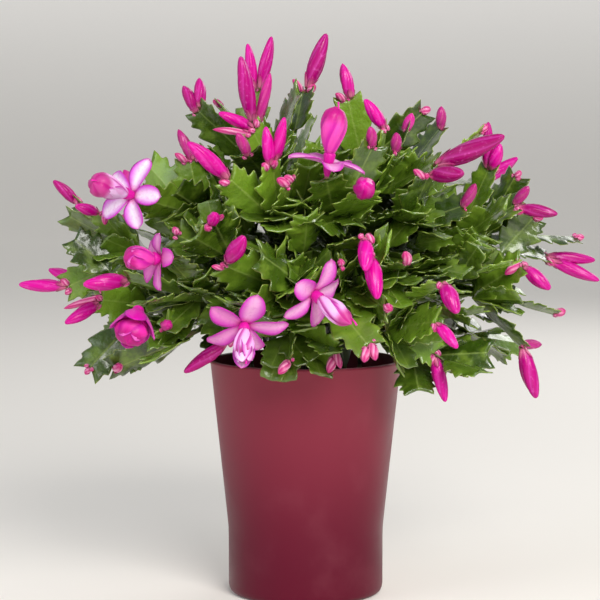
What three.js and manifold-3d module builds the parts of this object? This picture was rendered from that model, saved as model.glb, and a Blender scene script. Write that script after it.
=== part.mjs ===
// Christmas cactus in a tapered round pot, in millimetres, +Z up.
// The origin is the centre of the pot's flat underside, and the front of the plant faces -Y.
import * as THREE from 'three';
import { mergeVertices } from 'three/addons/utils/BufferGeometryUtils.js';
import Module from 'manifold-3d';

const wasm = await Module();
wasm.setup();

const radians = THREE.MathUtils.degToRad;

// Pot and soil
const POT_HEIGHT = 165;
const RIM_RADIUS = 67.5;
const RIM_DEPTH = 3;
const RIM_ROUND = 0.6;
const FOOT_RADIUS = 54.5;
const STRAIGHT = 46;
const WALL = 2.6;
const FLOOR = 5;
const POT_SIDES = 32;
const SOIL_TOP = 148;
const SOIL_DOME = 1.5;
const SOIL_INSET = 0.6;
const GAP = 0.3;
const MERGE = 1e-3;
const WELD = 0.03;

// Stems
const OUTER_STEMS = 8;
const INNER_STEMS = 4;
const OUTER_FOOT = 38;
const INNER_FOOT = 14;
const FOOT_DEPTH = 18;
const FOOT_THICK = 3.4;
const FOOT_SIDES = 8;
const FOOT_ABOVE = 12;
const FOOT_NECK = 5;
const HOLE_EASE = 0.1;
const OUTER_RISE = radians(6);
const INNER_RISE = radians(56);

// Blades: the flat joints of a stem
const BLADE_LENGTH = 41;
const BLADE_WIDTH = 29;
const BLADE_THICK = 2;
const EDGE_THICK = 1;
const BLADE_FOLD = 2.6;
const LEAST_WIDTH = 0.9;
const WIDTH_SPREAD = 0.16;
const TRUNK_SLIM = 0.6;
const BOUGH_SLIM = 0.8;
const FACE_LIFT = 0.9;
const SEAT_WIDTH = 3.4;
const BUD_SEAT_WIDTH = 4.6;
const SEAT_DRAWN = 0.86;
const SEAT_SUNK = 0.9;

// The leafy dome round the heart of the plant, and how the stems fork on their way out to it
const HEART = new THREE.Vector3(0, 0, 195);
const DOME = new THREE.Vector3(172, 164, 150);
const CROWN_AT = 0.24;
const FORK_AT = 0.74;
const BOUGH_ANGLE = radians(26);
const BOUGH_TIPS = 4;
const BOUGH_LEAVES = 0.7;
const TIP_LEAVES = 0.6;
const ARCH_START = 0.33;
const ARCH_END = 0.36;
const ARCH_LONGER = 1.06;

// Further tips, spread evenly over the dome wherever it is open
const FILL_TRIES = 220;
const FILL_LOWEST = -0.22;
const FILL_RISE = 1.2;
const FILL_DEPTH = [0.9, 0.12];
const FILL_DROOP = 0.35;
const FILL_FRONT = radians(24);
const FILL_BACK = radians(15);
const FRONT_ENDS = -0.1;
const SPARE_BUDS = [
  { above: 0.81, below: 262, far: 42, what: 'open' },
  { above: 0.66, below: DOME.z + HEART.z, far: 34, what: 9 },
  { above: 0.3, below: DOME.z + HEART.z, far: 18, what: 6 },
];

// How a blade is turned and narrowed until it is clear of what has grown before it
const ROLL_RANGE = 70;
const FAN_ROLL = 34;
const ROLLS = [0, 12, -12, 24, -24, 36, -36, 48, -48, 60, -60, 72, -72, 90];
const WIDTHS = [1, 0.88, 0.76, 0.64];
const TOUCH = 1e-3;
const OTHER = 1000;

// Buds and flowers
const OWN_GIRTH = 8;
const CLEAR = 0.35;
const SETBACKS = [0.2, 0.5, 0.8, 1.1, 1.4, 1.7];
const SHIFTS = [[0, 0], [5, 0], [0, 6], [0, -6], [10, 0], [5, 8], [5, -8], [16, 0], [10, 12], [10, -12]];
const BUD_RINGS = [[0.04, 0.32, 0], [0.4, 1, 0.3], [0.76, 0.74, 0.6]];
const BUD_SIDES = 6;
const BUD_LOBE = 0.84;
const BUTTON_RINGS = [[0.35, 0.53], [0.7, 0.42]];
const PETALS = 5;
const PETAL_THICK = 0.9;
const PETAL_ROOT = 1.6;
const PETAL_FORMS = {
  broad: {
    outline: [[0.36, 0.42], [0.74, 0.46], [1, 0], [0.74, -0.46], [0.36, -0.42]],
    faces: [[0, 1, 2], [0, 2, 6], [6, 2, 3], [6, 3, 5], [5, 3, 4]],
  },
  slim: {
    outline: [[0.5, 0.48], [1, 0], [0.5, -0.48]],
    faces: [[0, 1, 2], [0, 2, 4], [4, 2, 3]],
  },
};
const FLOWERS = {
  open: {
    tiers: [
      { at: 0.2, round: 3.2, turn: 0, form: 'broad', spread: 82, length: 26, width: 15, curl: 0.12 },
      { at: 0.34, round: 4, turn: 0.5, form: 'slim', spread: 20, length: 24, width: 11, curl: -0.04 },
    ],
    heart: [[0.62, 5.6], [0.86, 4.2]],
  },
  half: {
    tiers: [
      { at: 0.2, round: 3.2, turn: 0, form: 'broad', spread: 76, length: 18, width: 13, curl: 0.1 },
      { at: 0.36, round: 4.6, turn: 0.5, form: 'slim', spread: 34, length: 18, width: 12, curl: -0.06 },
    ],
    heart: [[0.66, 6.6], [0.9, 5]],
  },
  opening: {
    tiers: [
      { at: 0.12, round: 4, turn: 0, form: 'broad', spread: 50, length: 21, width: 15, curl: -0.3 },
      { at: 0.5, round: 9.2, turn: 0.5, form: 'slim', spread: 9, length: 14, width: 11, curl: 0.02 },
    ],
    heart: [[0.74, 8], [0.92, 5]],
  },
};

// Blade tips on the front half, taken off the photo: the end of the last blade, the way that blade
// points, and what it bears. A bud is the place of its point and its girth; a flower has its kind, and
// its turn on its tube, as a part of the way from one petal to the next.
const TIPS = [
  [[-109, -72, 280], [-0.4, -0.6, 0.6], [[-138, -114, 292, 'open', 0.5]]],
  [[-87, -126, 243], [-0.6, -0.7, 0.3], [[-116, -142, 245, 'half', 0.6]]],
  [[13, -121, 294], [0.0, -0.4, 0.9], [[19, -127, 341, 'open', 0.6]]],
  [[-2, -151, 228], [0.5, -0.8, -0.3], [[28, -177, 206, 'open', 0.7]]],
  [[-39, -149, 210], [0.0, -0.9, -0.4], [[-39, -175, 183, 'open', 0.5]]],
  [[-107, -121, 213], [-0.5, -0.8, -0.2], [[-114, -141, 190, 'opening', 0.4]]],
  [[84, -80, 302], [0.7, -0.5, 0.5], [[129, -102, 322, 13]]],
  [[-159, 10, 273], [-0.8, 0.0, 0.5], [[-177, 5, 290, 8]]],
  [[-140, -30, 269], [-0.7, -0.3, 0.5], [[-157, -40, 274, 8], [-137, -38, 261, 4]]],
  [[-118, -75, 226], [-0.8, -0.5, 0.0], [[-147, -90, 224, 11]]],
  [[-165, -10, 217], [-0.9, -0.2, -0.1], [[-200, -10, 218, 9]]],
  [[-139, -50, 211], [-0.8, -0.4, -0.2], [[-162, -65, 196, 9], [-164, -54, 205, 4]]],
  [[-52, -95, 189], [-0.4, -0.7, -0.4], [[-77, -100, 176, 9]]],
  [[-51, -142, 240], [0.4, -0.7, 0.5], [[-38, -164, 258, 11], [-60, -146, 240, 3]]],
  [[-59, -128, 267], [-0.1, -0.7, 0.7], [[-58, -142, 273, 8], [-53, -136, 272, 3]]],
  [[36, -124, 286], [0.1, -0.8, 0.6], [[36, -152, 292, 14]]],
  [[-75, 15, 339], [-0.5, 0.1, 0.9], [[-84, 15, 358, 7], [-75, 17, 362, 7]]],
  [[-34, -40, 330], [-0.1, -0.3, 0.9], [[-44, -50, 375, 11], [-24, -48, 364, 6]]],
  [[-34, 20, 352], [-0.2, 0.1, 1.0], [[-41, 20, 386, 8], [-24, 20, 391, 9]]],
  [[-1, -25, 352], [0.0, -0.2, 1.0], [[14, -31, 391, 11], [-9, -29, 360, 4]]],
  [[29, -20, 346], [0.2, -0.1, 1.0], [[25, -20, 371, 7], [20, -26, 348, 4]]],
  [[-36, -62, 325], [-0.3, -0.4, 0.9], [[-58, -72, 337, 8], [-62, -70, 326, 4]]],
  [[-49, -115, 294], [-0.3, -0.6, 0.7], [[-76, -129, 318, 11]]],
  [[-79, -35, 304], [-0.6, -0.3, 0.8], [[-87, -35, 326, 6], [-86, -39, 300, 4]]],
  [[-38, -95, 309], [-0.1, -0.5, 0.9], [[-45, -105, 324, 6]]],
  [[-22, -108, 303], [0.0, -0.4, 0.9], [[-26, -116, 328, 8], [-14, -116, 328, 8]]],
  [[53, -60, 325], [0.3, -0.3, 0.9], [[39, -66, 346, 9]]],
  [[43, -88, 314], [0.2, -0.5, 0.9], [[42, -96, 328, 6]]],
  [[60, -68, 311], [0.3, -0.4, 0.8], [[60, -74, 324, 6]]],
  [[68, -20, 324], [0.4, -0.1, 0.9], [[73, -24, 337, 6]]],
  [[95, 12, 326], [0.4, 0.1, 0.9], [[95, 8, 342, 6]]],
  [[79, -92, 295], [0.5, -0.5, 0.7], [[102, -110, 298, 11], [70, -100, 300, 4]]],
  [[128, 0, 297], [0.6, 0.0, 0.8], [[127, -4, 331, 8], [135, -8, 316, 9]]],
  [[105, -62, 274], [0.6, -0.4, 0.7], [[113, -70, 290, 6]]],
  [[144, -22, 273], [0.8, -0.2, 0.5], [[173, -28, 268, 9], [153, -28, 287, 6]]],
  [[170, 18, 235], [1.0, 0.1, 0.0], [[206, 22, 233, 9], [208, 14, 219, 9]]],
  [[147, -32, 233], [0.9, -0.4, 0.0], [[167, -40, 217, 10], [136, -38, 227, 5]]],
  [[34, -146, 258], [0.1, -0.8, -0.5], [[37, -160, 238, 10], [26, -149, 256, 4]]],
  [[38, -142, 247], [-0.3, -0.8, -0.4], [[42, -150, 230, 11]]],
  [[86, -131, 228], [0.6, -0.7, -0.2], [[96, -145, 210, 11]]],
  [[82, -135, 203], [0.6, -0.7, -0.3], [[96, -147, 188, 8]]],
  [[85, -78, 177], [0.6, -0.6, -0.5], [[93, -82, 145, 9]]],
  [[5, -150, 233], [0.0, -0.4, -0.9], []],
  [[-11, -112, 176], [-0.3, -0.6, -0.7], [[-18, -118, 168, 5]]],
  [[18, -112, 181], [0.0, -0.6, -0.8], [[14, -115, 169, 5], [22, -115, 172, 4]]],
  [[39, -149, 190], [0.1, -0.5, -0.9], [[36, -153, 180, 5], [43, -151, 181, 5]]],
  [[60, -105, 171], [-0.2, -0.6, -0.8], []],
  [[75, -80, 153], [0.4, -0.4, -0.8], []],
  [[-28, -144, 246], [0.2, -0.6, 0.7], [[-19, -152, 241, 4]]],
  [[-49, -146, 217], [-0.6, -0.7, -0.2], []],
  [[-5, -50, 350], [-0.1, -0.2, 1.0], []],
  [[-10, -123, 292], [0.4, -0.6, 0.7], [[-14, -132, 293, 4], [-18, -130, 286, 5]]],
  [[13, -100, 290], [-0.1, -0.4, 0.9], []],
  [[135, -50, 273], [0.8, -0.3, 0.6], []],
  [[159, 0, 264], [0.9, -0.1, 0.4], [[166, -3, 261, 4]]],
  [[139, -62, 236], [0.8, -0.4, -0.4], []],
  [[-164, -10, 266], [-0.8, -0.1, 0.6], []],
  [[-160, -20, 250], [-0.8, -0.3, 0.4], []],
  [[-148, -40, 163], [-0.7, -0.4, -0.6], []],
  [[-129, -66, 166], [-0.7, -0.5, -0.5], [[-128, -76, 176, 6], [-120, -76, 176, 5]]],
  [[173, -18, 198], [0.9, -0.2, -0.4], [[180, -21, 201, 5]]],
  [[149, -30, 177], [0.5, -0.3, -0.8], []],
  [[122, -66, 176], [0.7, -0.4, -0.6], []],
  [[80, -10, 337], [0.1, 0.0, 1.0], []],
  [[-93, -88, 198], [-0.8, -0.5, -0.3], [[-90, -98, 199, 6], [-82, -98, 195, 5]]],
  [[-87, -60, 284], [-0.7, -0.4, 0.6], [[-98, -67, 278, 4]]],
  [[-58, -10, 342], [-0.4, -0.1, 0.9], [[-64, -15, 346, 4]]],
  [[52, -142, 252], [0.6, -0.7, -0.2], []],
  [[65, -137, 241], [-0.2, -0.8, 0.4], [[62, -146, 249, 5]]],
  [[50, -146, 214], [-0.2, -0.7, -0.7], []],
  [[22, -147, 241], [-0.2, -0.7, 0.7], []],
  [[-71, -128, 257], [-0.6, -0.7, 0.0], []],
  [[-84, -92, 257], [-0.6, -0.7, 0.2], []],
  [[-108, -10, 300], [-0.7, -0.1, 0.7], []],
  [[122, -5, 324], [0.4, -0.1, 0.9], []],
  [[147, 5, 292], [0.6, 0.0, 0.8], []],
  [[191, 20, 249], [1.0, 0.0, 0.0], []],
];

// One side of a blade's outline from its root to its end, as parts of length and half width, and the
// faces of that side: 0 is the root, 1 and up the outline's own points, and the last the end
const FORMS = {
  fine: {
    edge: [[0.15, 0.52], [0.42, 0.98], [0.47, 0.76], [0.73, 1.04], [0.78, 0.74], [1.09, 0.68]],
    faces: [[0, 1, 3], [1, 2, 3], [0, 3, 7], [3, 4, 5], [3, 5, 7], [5, 6, 7]],
  },
  inner: {
    edge: [[0.5, 0.95], [0.57, 0.74], [0.97, 0.62]],
    faces: [[0, 1, 2], [0, 2, 4], [2, 3, 4]],
  },
};

// A repeatable draw between 0 and 1 for a place and a use
const USES = ['', 'roll', 'width', 'depth', 'bloom'];
function chance(p, use) {
  const wide = Math.sin(p.x * 12.99 + p.y * 78.23 + p.z * 37.72 + USES.indexOf(use) * 5.31) * 437.58;
  return wide - Math.floor(wide);
}

const vec = (p) => new THREE.Vector3(p[0], p[1], p[2]);
const unit = (v) => v.clone().normalize();
const mix = (a, b, t) => a.clone().lerp(b, t);
const ahead = (p, dir, far) => p.clone().addScaledVector(dir, far);
const outward = (p) => unit(p.clone().sub(HEART));

function middle(points) {
  const sum = new THREE.Vector3();
  points.forEach((p) => sum.add(p));
  return sum.divideScalar(points.length);
}

function solid({ points, faces }) {
  const mesh = {
    numProp: 3,
    vertProperties: new Float32Array(points.flatMap((p) => [p.x, p.y, p.z])),
    triVerts: new Uint32Array(faces.flat()),
  };
  return new wasm.Manifold(new wasm.Mesh(mesh));
}

// Pieces that meet on whole faces, as one skin: corners that coincide are shared, and the two faces
// of each meeting drop out
function stitch(pieces) {
  const index = new Map();
  const points = [];
  const corner = (p) => {
    const key = `${p.x},${p.y},${p.z}`;
    if (!index.has(key)) {
      index.set(key, points.length);
      points.push(p);
    }
    return index.get(key);
  };
  const faces = new Map();
  for (const piece of pieces) {
    for (const face of piece.faces) {
      const ids = face.map((i) => corner(piece.points[i]));
      const key = [...ids].sort((a, b) => a - b).join();
      if (faces.has(key)) {
        faces.delete(key);
      } else {
        faces.set(key, ids);
      }
    }
  }
  return solid({ points, faces: [...faces.values()] });
}

function solidOf(geometry) {
  geometry.deleteAttribute('normal');
  geometry.deleteAttribute('uv');
  const merged = mergeVertices(geometry, MERGE);
  return new wasm.Manifold(new wasm.Mesh({
    numProp: 3,
    vertProperties: new Float32Array(merged.attributes.position.array),
    triVerts: new Uint32Array(merged.index.array),
  }));
}

function geometryOf(body) {
  const { vertProperties, triVerts } = body.getMesh();
  const geometry = new THREE.BufferGeometry();
  geometry.setAttribute('position', new THREE.BufferAttribute(new Float32Array(vertProperties), 3));
  geometry.setIndex(new THREE.BufferAttribute(new Uint32Array(triVerts), 1));
  return geometry;
}

function meshOf(name, body, material) {
  const geometry = geometryOf(body);
  geometry.computeVertexNormals();
  const mesh = new THREE.Mesh(geometry, material);
  mesh.name = name;
  return mesh;
}

// Corners that lie a hair apart become one wherever the skin stays closed, so that no needle-thin face
// is left: an edge can close up where its ends share only the two corners beside it
function welded(geometry) {
  const { position } = geometry.attributes;
  const place = (i) => new THREE.Vector3().fromBufferAttribute(position, i);
  const corners = [...geometry.index.array];
  let faces = [];
  for (let k = 0; k < corners.length; k += 3) {
    faces.push(corners.slice(k, k + 3));
  }
  const round = (i) => new Set(faces.filter((face) => face.includes(i)).flat());
  const closes = (a, b) => {
    const beside = round(b);
    return [...round(a)].filter((i) => i !== a && i !== b && beside.has(i)).length === 2;
  };
  const edges = () => faces.flatMap(([a, b, c]) => [[a, b], [b, c], [c, a]]);
  const short = ([a, b]) => place(a).distanceTo(place(b)) < WELD && closes(a, b);
  for (let edge = edges().find(short); edge; edge = edges().find(short)) {
    const [stays, goes] = edge;
    faces = faces.map((face) => face.map((i) => (i === goes ? stays : i)));
    faces = faces.filter((face) => new Set(face).size === 3);
  }
  geometry.setIndex(faces.flat());
  return geometry;
}

// The outer skin of a fused body: pockets closed off inside it are filled, and scraps go
function outerSkin(body) {
  const largest = (list) => list.reduce((best, one) => (one.volume() > best.volume() ? one : best));
  return largest(solidOf(welded(geometryOf(largest(body.decompose())))).decompose());
}

// A thin plate: its two faces have like outlines and like triangles
function plate(top, bottom, faces, quarter = false) {
  const n = top.length;
  const all = [...faces, ...faces.map(([a, b, c]) => [c + n, b + n, a + n])];
  all.push(...(quarter ? [[0, n, n + 1], [0, n + 1, 1]] : [[0, n, 1], [1, n, n + 1]]));
  for (let i = 1; i < n; i++) {
    const j = (i + 1) % n;
    all.push([i, i + n, j + n], [i, j + n, j]);
  }
  return { points: [...top, ...bottom], faces: all };
}

// The seat that a blade, bud or petal grows from: four corners, left and right on the upper and the
// lower face, which both pieces share
const seatMiddle = (seat) => middle([seat.topLeft, seat.topRight, seat.lowLeft, seat.lowRight]);

// The root of a blade that shares its seat's corners. Past an eighth of a turn it takes them a quarter
// turn on, so that the blade is never wrung at its root.
function shared(seat, { across }) {
  const lean = (from, to) => unit(to.clone().sub(from)).dot(across);
  const ring = [seat.topLeft, seat.topRight, seat.lowRight, seat.lowLeft];
  const turn = [0, 1, 3].reduce((best, k) => (
    lean(ring[k], ring[(k + 1) % 4]) > lean(ring[best], ring[(best + 1) % 4]) ? k : best));
  const [topLeft, topRight, lowRight, lowLeft] = [0, 1, 2, 3].map((i) => ring[(i + turn) % 4]);
  return { topLeft, topRight, lowRight, lowLeft, quarter: turn !== 0 };
}

// The root of a blade that fuses to its seat: drawn in, turned to the blade and sunk into what carries it
function sunk(seat, { up, across }) {
  const right = seat.topRight.clone().sub(seat.topLeft);
  const rise = seat.topLeft.clone().sub(seat.lowLeft);
  const back = new THREE.Vector3().crossVectors(right, rise).normalize();
  const root = ahead(seatMiddle(seat), back, SEAT_SUNK);
  const corner = (x, y) => (
    ahead(ahead(root, across, x * SEAT_DRAWN * SEAT_WIDTH / 2), up, y * SEAT_DRAWN * BLADE_THICK / 2));
  return { topLeft: corner(-1, 1), topRight: corner(1, 1), lowLeft: corner(-1, -1), lowRight: corner(1, -1) };
}

// Axes of a flat piece that grows along a line: its length, its width and its upper face. It never
// turns more than a quarter from the seat it grows on.
function axes(seat, to, facing, roll) {
  const along = unit(to.clone().sub(seatMiddle(seat)));
  const up = ahead(facing, along, -facing.dot(along)).normalize().applyAxisAngle(along, radians(roll));
  const across = new THREE.Vector3().crossVectors(along, up);
  const right = seat.topRight.clone().sub(seat.topLeft);
  if (across.dot(right) < 0) {
    across.negate();
    up.negate();
  }
  return { along, up, across };
}

// One toothed blade with a raised midrib, and the seats for what grows on its end
function blade({ seat, to, facing, roll, form, width, heads, gap, apart }) {
  const { along, up, across } = axes(seat, to, facing, roll);
  const from = seatMiddle(seat);
  const length = from.distanceTo(to);
  const { edge, faces } = FORMS[form];
  const m = edge.length;
  const at = (s, x, face, thick, low) => {
    const p = ahead(ahead(from, along, s * length), across, x);
    return ahead(p, up, face * thick / 2 - low);
  };
  const side = (face, roots) => {
    const row = (sign) => edge.map(([s, t]) => (
      at(s, sign * t * width / 2, face, EDGE_THICK, BLADE_FOLD * t)));
    const end = [];
    for (let k = 0; k <= heads; k++) {
      end.push(at(1, (heads / 2 - k) * gap, face, BLADE_THICK, 0));
    }
    return [roots[0], roots[1], ...row(1), ...end, ...row(-1).reverse()];
  };
  const root = apart ? sunk(seat, { up, across }) : shared(seat, { across });
  const top = side(1, [root.topLeft, root.topRight]);
  const low = side(-1, [root.lowLeft, root.lowRight]);
  const n = top.length;
  const right = faces.map((f) => f.map((i) => i + 1));
  const left = faces.map((f) => f.map((i) => (i === 0 ? 0 : n - i)).reverse());
  const all = [...right, ...left, [0, 1, m + 2]];
  for (let k = 0; k < heads; k++) {
    all.push([0, m + 2 + k, m + 3 + k]);
  }
  const seats = [];
  for (let k = heads - 1; k >= 0; k--) {
    seats.push({
      topLeft: top[m + 3 + k], topRight: top[m + 2 + k], lowLeft: low[m + 3 + k], lowRight: low[m + 2 + k],
    });
  }
  return { ...plate(top, low, all, root.quarter), seats, along, up, across };
}

// A small bud of four-cornered rings that grows from a seat to a point
function buttonBud(seat, to, girth) {
  const from = seatMiddle(seat);
  const along = unit(to.clone().sub(from));
  const across = unit(seat.topRight.clone().sub(seat.topLeft));
  across.addScaledVector(along, -across.dot(along)).normalize();
  const up = new THREE.Vector3().crossVectors(across, along);
  const points = [seat.topLeft, seat.topRight, seat.lowRight, seat.lowLeft];
  for (const [s, radius] of BUTTON_RINGS) {
    for (const [x, y] of [[-1, 1], [1, 1], [1, -1], [-1, -1]]) {
      const side = radius * Math.SQRT1_2 * girth;
      points.push(ahead(ahead(mix(from, to, s), across, x * side), up, y * side));
    }
  }
  points.push(to);
  const faces = [[0, 3, 1], [1, 3, 2]];
  for (let i = 0; i < 4; i++) {
    const j = (i + 1) % 4;
    for (const ring of [0, 4]) {
      faces.push([i + ring, j + ring, j + ring + 4], [i + ring, j + ring + 4, i + ring + 4]);
    }
    faces.push([i + 8, j + 8, 12]);
  }
  return { points, faces };
}

// Two directions square to a line, for rings round it
function square(along) {
  const helper = Math.abs(along.z) < 0.9 ? new THREE.Vector3(0, 0, 1) : new THREE.Vector3(1, 0, 0);
  const u = new THREE.Vector3().crossVectors(helper, along).normalize();
  return { u, v: new THREE.Vector3().crossVectors(along, u) };
}

// A body of rings round a line, drawn to a point at both ends, and the seats round each of its bands
function spindle(from, to, rings, sides, lobe) {
  const along = unit(to.clone().sub(from));
  const length = from.distanceTo(to);
  const { u, v } = square(along);
  const points = [from.clone()];
  rings.forEach(([s, radius, turn]) => {
    for (let i = 0; i < sides; i++) {
      const angle = 2 * Math.PI * (i + turn) / sides;
      const r = radius * (i % 2 ? lobe : 1);
      const p = ahead(from, along, s * length);
      points.push(ahead(ahead(p, u, r * Math.cos(angle)), v, r * Math.sin(angle)));
    }
  });
  points.push(to.clone());
  const last = points.length - 1;
  const faces = [];
  const seats = rings.slice(1).map(() => []);
  for (let i = 0; i < sides; i++) {
    const j = (i + 1) % sides;
    faces.push([0, 1 + j, 1 + i], [last, last - sides + i, last - sides + j]);
    for (let k = 0; k < rings.length - 1; k++) {
      const a = 1 + k * sides;
      const b = a + sides;
      faces.push([a + i, a + j, b + i], [a + j, b + j, b + i]);
      seats[k].push({
        topLeft: points[b + j], topRight: points[b + i], lowLeft: points[a + j], lowRight: points[a + i],
      });
    }
  }
  return { body: solid({ points, faces }), seats };
}

// A closed bud: a small receptacle, then wrapped petals that come to a point
function bud(from, to, girth) {
  const rings = BUD_RINGS.map(([s, radius, turn]) => [s, radius * girth / 2, turn]);
  return spindle(from, to, rings, BUD_SIDES, BUD_LOBE).body;
}

// One petal: a thin plate that leaves its seat on the tube at a spread angle and curls back
function petal(seat, axis, centre, { form, spread, length, width, curl }) {
  const { outline, faces } = PETAL_FORMS[form];
  const root = seatMiddle(seat);
  const side = root.clone().sub(centre);
  side.addScaledVector(axis, -side.dot(axis)).normalize();
  const angle = radians(spread);
  const along = side.clone().multiplyScalar(Math.sin(angle)).addScaledVector(axis, Math.cos(angle));
  const up = axis.clone().multiplyScalar(Math.sin(angle)).addScaledVector(side, -Math.cos(angle));
  const across = new THREE.Vector3().crossVectors(along, up);
  const layer = (sign) => outline.map(([s, t]) => {
    const p = ahead(ahead(root, along, s * length), across, t * width);
    return ahead(p, up, sign * PETAL_THICK / 2 - curl * s * s * length);
  });
  const top = [seat.topLeft, seat.topRight, ...layer(1)];
  const low = [seat.lowLeft, seat.lowRight, ...layer(-1)];
  return solid(plate(top, low, faces));
}

// An open or opening flower: receptacle and tube, two layers of petals, and the closed petals at its heart
function flower(from, to, kind, phase) {
  const { tiers, heart } = FLOWERS[kind];
  const axis = unit(to.clone().sub(from));
  const length = from.distanceTo(to);
  const rings = [[0.02, 1, phase]];
  tiers.forEach(({ at, round, turn }) => {
    rings.push([at, round, turn + phase], [at + PETAL_ROOT / length, round, turn + phase]);
  });
  heart.forEach(([s, radius], i) => rings.push([s, radius, phase + (i + 2) / 2]));
  const core = spindle(from, to, rings, PETALS, 1);
  const pieces = [core.body];
  tiers.forEach((tier, k) => {
    const centre = ahead(from, axis, tier.at * length);
    core.seats[2 * k + 1].forEach((seat) => pieces.push(petal(seat, axis, centre, tier)));
  });
  return pieces.reduce((sum, piece) => sum.add(piece));
}

// Points along an arching line that leaves one place in one direction and reaches another
function arch(from, leave, to, arrive) {
  const far = from.distanceTo(to);
  const curve = new THREE.CubicBezierCurve3(
    from, ahead(from, leave, ARCH_START * far), ahead(to, arrive, -ARCH_END * far), to);
  const count = Math.max(1, Math.round(ARCH_LONGER * far / BLADE_LENGTH));
  return curve.getPoints(count).slice(1);
}

// What has grown so far. New growth is turned until it is clear of it.
const grown = [];

function crossings(body, owner) {
  const box = body.boundingBox();
  const apart = (other) => [0, 1, 2].some((i) => box.max[i] < other.min[i] || box.min[i] > other.max[i]);
  let cost = 0;
  for (const one of grown) {
    if (!apart(one.box) && !body.intersect(one.body).isEmpty()) {
      const shared = body.intersect(one.body).volume();
      if (shared > TOUCH) {
        cost += one.owner === owner ? 1 : OTHER;
      }
    }
  }
  return cost;
}

function keep(body, owner) {
  grown.push({ body, owner, box: body.boundingBox() });
}

// Adds a piece to the part of its stem that carries its seat, or as a part of its own
function settle(stem, seat, piece, parted) {
  if (!parted) {
    seat.part.push(piece);
    return seat.part;
  }
  const part = [parted];
  stem.parts.push(part);
  return part;
}

// The first of several ways to grow a piece that is clear, or else the one with the least crossing
function clearest(ways, owner) {
  let best = null;
  for (const make of ways) {
    const one = make();
    one.body ??= solid(one);
    one.cost = crossings(one.body, owner);
    if (!best || one.cost < best.cost) {
      best = one;
    }
    if (one.cost === 0) {
      break;
    }
  }
  return best;
}

// A run of blades from a seat along a line of points, the last with seats for what comes after
function run(stem, start, points, { forms, heads, gap, fan, slim }) {
  const blades = [];
  let seat = start;
  points.forEach((to, i) => {
    const left = points.length - 1 - i;
    const open = outward(mix(seatMiddle(seat), to, 0.5)).add(new THREE.Vector3(0, 0, FACE_LIFT));
    const fanned = fan && i === 0;
    const plan = {
      seat, to, form: forms[Math.min(left, forms.length - 1)], heads: left ? 1 : heads, gap,
      facing: fanned ? seat.up.clone() : open,
      width: slim * BLADE_WIDTH * (LEAST_WIDTH + WIDTH_SPREAD * chance(to, 'width')),
    };
    const roll = fanned ? fan : ROLL_RANGE * (chance(to, 'roll') - 0.5);
    const ways = WIDTHS.flatMap((part) => ROLLS.map((turn) => () => {
      const way = { ...plan, roll: roll + turn, width: plan.width * part };
      return { ...blade(way), way };
    }));
    const one = clearest(ways, stem.name);
    keep(one.body, stem.name);
    blades.push({ one, seat });
    one.seats.forEach((next) => { next.up = one.up; });
    seat = one.seats[0];
  });
  return blades;
}

// Puts a run of blades into its stem
function settleRun(stem, blades) {
  for (const { one, seat } of blades) {
    const parted = one.cost % OTHER ? blade({ ...one.way, apart: true }) : null;
    const part = settle(stem, seat, one, parted);
    one.seats.forEach((next) => { next.part = part; });
  }
  return blades.at(-1).one;
}

// Where the stems stand, and which part of the dome each one fills
function stems() {
  const list = [];
  const add = (count, elevation, foot, turn, kind) => {
    for (let k = 0; k < count; k++) {
      const angle = 2 * Math.PI * (k + turn) / count;
      const flat = new THREE.Vector3(Math.sin(angle), -Math.cos(angle), 0);
      const way = new THREE.Vector3(0, 0, Math.sin(elevation)).addScaledVector(flat, Math.cos(elevation));
      const place = ahead(new THREE.Vector3(0, 0, SOIL_TOP), flat, foot);
      list.push({ name: `${kind}_stem_${k + 1}`, way, place, tips: [] });
    }
  };
  add(OUTER_STEMS, OUTER_RISE, OUTER_FOOT, 0, 'outer');
  add(INNER_STEMS, INNER_RISE, INNER_FOOT, 0.5, 'inner');
  return list;
}

// The tips that the photo gives, then more wherever the dome is still open, the back included
function allTips() {
  const tips = TIPS.map(([end, heading, bears]) => ({
    end: vec(end),
    heading: unit(vec(heading)),
    bears: bears.map(([x, y, z, what, phase]) => ({ point: new THREE.Vector3(x, y, z), what, phase })),
    spare: false,
  }));
  for (let i = 0; i < FILL_TRIES; i++) {
    const up = FILL_LOWEST + FILL_RISE * (i + 0.5) / FILL_TRIES;
    const level = Math.sqrt(1 - up * up);
    const turn = i * Math.PI * (3 - Math.sqrt(5));
    const way = new THREE.Vector3(level * Math.cos(turn), level * Math.sin(turn), up);
    const depth = FILL_DEPTH[0] + FILL_DEPTH[1] * chance(way, 'depth');
    const end = HEART.clone().add(way.clone().multiply(DOME).multiplyScalar(depth));
    const seen = outward(end);
    const open = Math.cos(way.y < FRONT_ENDS ? FILL_FRONT : FILL_BACK);
    if (!tips.some((tip) => outward(tip.end).dot(seen) > open)) {
      const heading = unit(seen.clone().add(new THREE.Vector3(0, 0, -FILL_DROOP * level)));
      tips.push({ end, heading, bears: spareBuds(end, seen), spare: true });
    }
  }
  return tips;
}

// What a tip that the photo doesn't show bears, in the same mix as those it does
function spareBuds(end, seen) {
  const grow = unit(seen.clone().add(new THREE.Vector3(0.2, 0.1, 0.1)));
  const lot = chance(end, 'bloom');
  const found = SPARE_BUDS.find(({ above, below }) => lot > above && end.z < below);
  return found ? [{ point: ahead(end, grow, found.far), what: found.what, phase: lot }] : [];
}

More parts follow.
